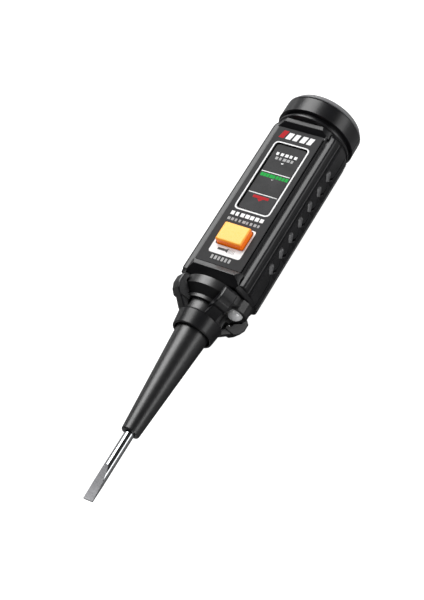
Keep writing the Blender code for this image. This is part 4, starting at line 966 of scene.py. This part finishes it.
# Painted highlight: the key's colour turns a paler yellow towards its top, where the light falls, and stays
# orange on the sides.
height_of = amber_nodes.nodes.new("ShaderNodeSeparateXYZ")
amber_nodes.links.new(amber_nodes.nodes["Texture Coordinate"].outputs["Object"], height_of.inputs[0])
painted_top_light_share = amber_nodes.nodes.new("ShaderNodeMapRange")
BUTTON_TOP = (button_high.z - axis_height) * 1000.0
painted_top_light_share.inputs["From Min"].default_value = (BUTTON_TOP - 0.55) / 1000.0 + axis_height
painted_top_light_share.inputs["From Max"].default_value = (BUTTON_TOP - 0.05) / 1000.0 + axis_height
amber_nodes.links.new(height_of.outputs["Z"], painted_top_light_share.inputs["Value"])
painted_top_light_tint = amber_nodes.nodes.new("ShaderNodeMix")
painted_top_light_tint.data_type = "RGBA"
painted_top_light_tint.inputs[7].default_value = (0.84, 0.53, 0.09, 1.0)
amber_nodes.links.new(amber_nodes.nodes["Color Ramp"].outputs["Color"], painted_top_light_tint.inputs[6])
amber_nodes.links.new(painted_top_light_share.outputs["Result"], painted_top_light_tint.inputs[0])
amber_nodes.links.new(painted_top_light_tint.outputs[2], amber_nodes.nodes["Principled BSDF"].inputs["Base Color"])

flange_low = (button_low.z - axis_height) * 1000.0
key_levels = [(0.9, flange_low, 0.6), (0.9, 6.2, 0.6), (0.0, 6.25, 0.55), (0.0, BUTTON_TOP - 0.5, 0.55),
              (-0.05, BUTTON_TOP - 0.38, 0.55), (-0.34, BUTTON_TOP - 0.1, 0.5),
              (-0.44, BUTTON_TOP - 0.06, 0.45), (-0.6, BUTTON_TOP - 0.04, 0.45),
              (-1.2, BUTTON_TOP - 0.02, 0.4), (-2.6, BUTTON_TOP, 0.2)]
key_sections = []
for grow, z, corner in key_levels:
    outline = rounded_box(BUTTON_HALF + grow, BUTTON_START - grow, BUTTON_END + grow, corner)
    key_sections.append([(point[0], point[1], z) for point in outline])
key = raw_piece("button_key", lofted(key_sections), amber)
fitted(key, "button", "amber", "button_cap", smooth=38)

# ------------------------------------------------------------ switch, board and what it carries
# A green fibreglass board under the front shell, with a tactile switch, three indicator chips,
# a controller, passives and the resistor that joins the blade to the circuit.
chip_black = mottled("chip_epoxy", (0.028, 0.028, 0.030), 0.5, tone=0.2, patch=0.8, grain=0.1, relief=0.004)
board_green = mottled("solder_mask", (0.015, 0.12, 0.05), 0.4, tone=0.35, patch=0.9, vary=0.1, grain=0.4)
lacquer = mottled("resistor_lacquer", (0.52, 0.39, 0.22), 0.4, tone=0.1, patch=0.8, grain=0.15)
ceramic = mottled("capacitor_ceramic", (0.60, 0.42, 0.14), 0.5, tone=0.12, patch=0.6, grain=0.1)
dressed(chip_black, "switch_housing", "switch_plunger", "controller_chip", "chip_resistor_1",
        "chip_resistor_2")
dressed(board_green, "circuit_board")
dressed(lacquer, "limiting_resistor")
dressed(ceramic, "chip_capacitor")
for colour_name, colour in (("white", (0.85, 0.80, 0.55)), ("green", (0.08, 0.6, 0.2)),
                            ("red", (0.65, 0.05, 0.04))):
    dressed(mottled(f"indicator_{colour_name}_resin", colour, 0.3, tone=0.08, patch=0.5, grain=0.1),
            f"indicator_{colour_name}")

# ------------------------------------------------------------ springs, contacts and cells
# Nickel-plated springs and strips join the blade, the board and three button cells, which lie in
# a grey trough behind the board.
cell_steel = mottled("cell_steel", (0.68, 0.68, 0.69), 0.24, 1.0, tone=0.07, patch=2.0, vary=0.08,
                     grain=0.25, relief=0.003)
cradle_grey = mottled("cradle_grey", (0.25, 0.25, 0.26), 0.5, tone=0.1, patch=2.5, grain=0.3)
dressed(nickel, "tip_spring", "spring_plate", "battery_spring", "battery_strip", "cap_contact")
dressed(cell_steel, "battery_cell_1", "battery_cell_2", "battery_cell_3")
dressed(cradle_grey, "battery_cradle")

# ------------------------------------------------------------ end cap and seal
# A dark grey moulding that screws into the head with a coin.  Its rim slopes in to a flat face
# with one straight slot, and a rubber ring seals it inside the bore.
cap_grey = mottled("cap_grey", (0.16, 0.16, 0.165), 0.36, tone=0.15, patch=5.0, vary=0.05, grain=0.25,
                   relief=0.006)
cap_low, cap_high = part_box("end_cap")
CAP_START = (cap_low.y - pen_start) * 1000.0
CAP_END = (cap_high.y - pen_start) * 1000.0
CAP_BASE = CAP_END - 2.0
cap = raw_piece("cap_moulding", turned(rounded(
    [(CAP_END - 0.35, 0.0), (CAP_END - 0.35, 9.2), (CAP_END, 9.6), (CAP_END, 11.1), (CAP_END - 0.3, 11.45),
     (CAP_BASE + 0.25, 12.4), (CAP_BASE, 12.25), (CAP_BASE, 8.5), (CAP_BASE - 1.9, 8.5),
     (CAP_BASE - 1.9, 9.3), (CAP_START, 9.3), (CAP_START, 7.6), (CAP_BASE - 0.8, 7.6), (CAP_BASE - 0.8, 3.0),
     (CAP_START, 3.0), (CAP_START, 0.0)],
    [0.0, 0.2, 0.2, 0.2, 0.15, 0.1, 0.1, 0.0, 0.0, 0.1, 0.2, 0.1, 0.1, 0.1, 0.1, 0.0], 4), 144), cap_grey)
coin_outline = rounded([(-7.5, -0.9, 0.0), (7.5, -0.9, 0.0), (7.5, 0.9, 0.0), (-7.5, 0.9, 0.0)],
                       [0.5] * 4, 4)
coin_slot = raw_piece("coin_slot", lofted([[(x, y, z) for x, z, _ in coin_outline]
                                           for y in (CAP_END - 1.1, CAP_END + 1.0)]))
carved(cap, coin_slot)
fitted(cap, "cap", "cap_grey", "end_cap")
seal_rubber = mottled("seal_rubber", (0.018, 0.018, 0.018), 0.65, tone=0.2, patch=1.5, grain=0.3)
dressed(seal_rubber, "seal_ring")
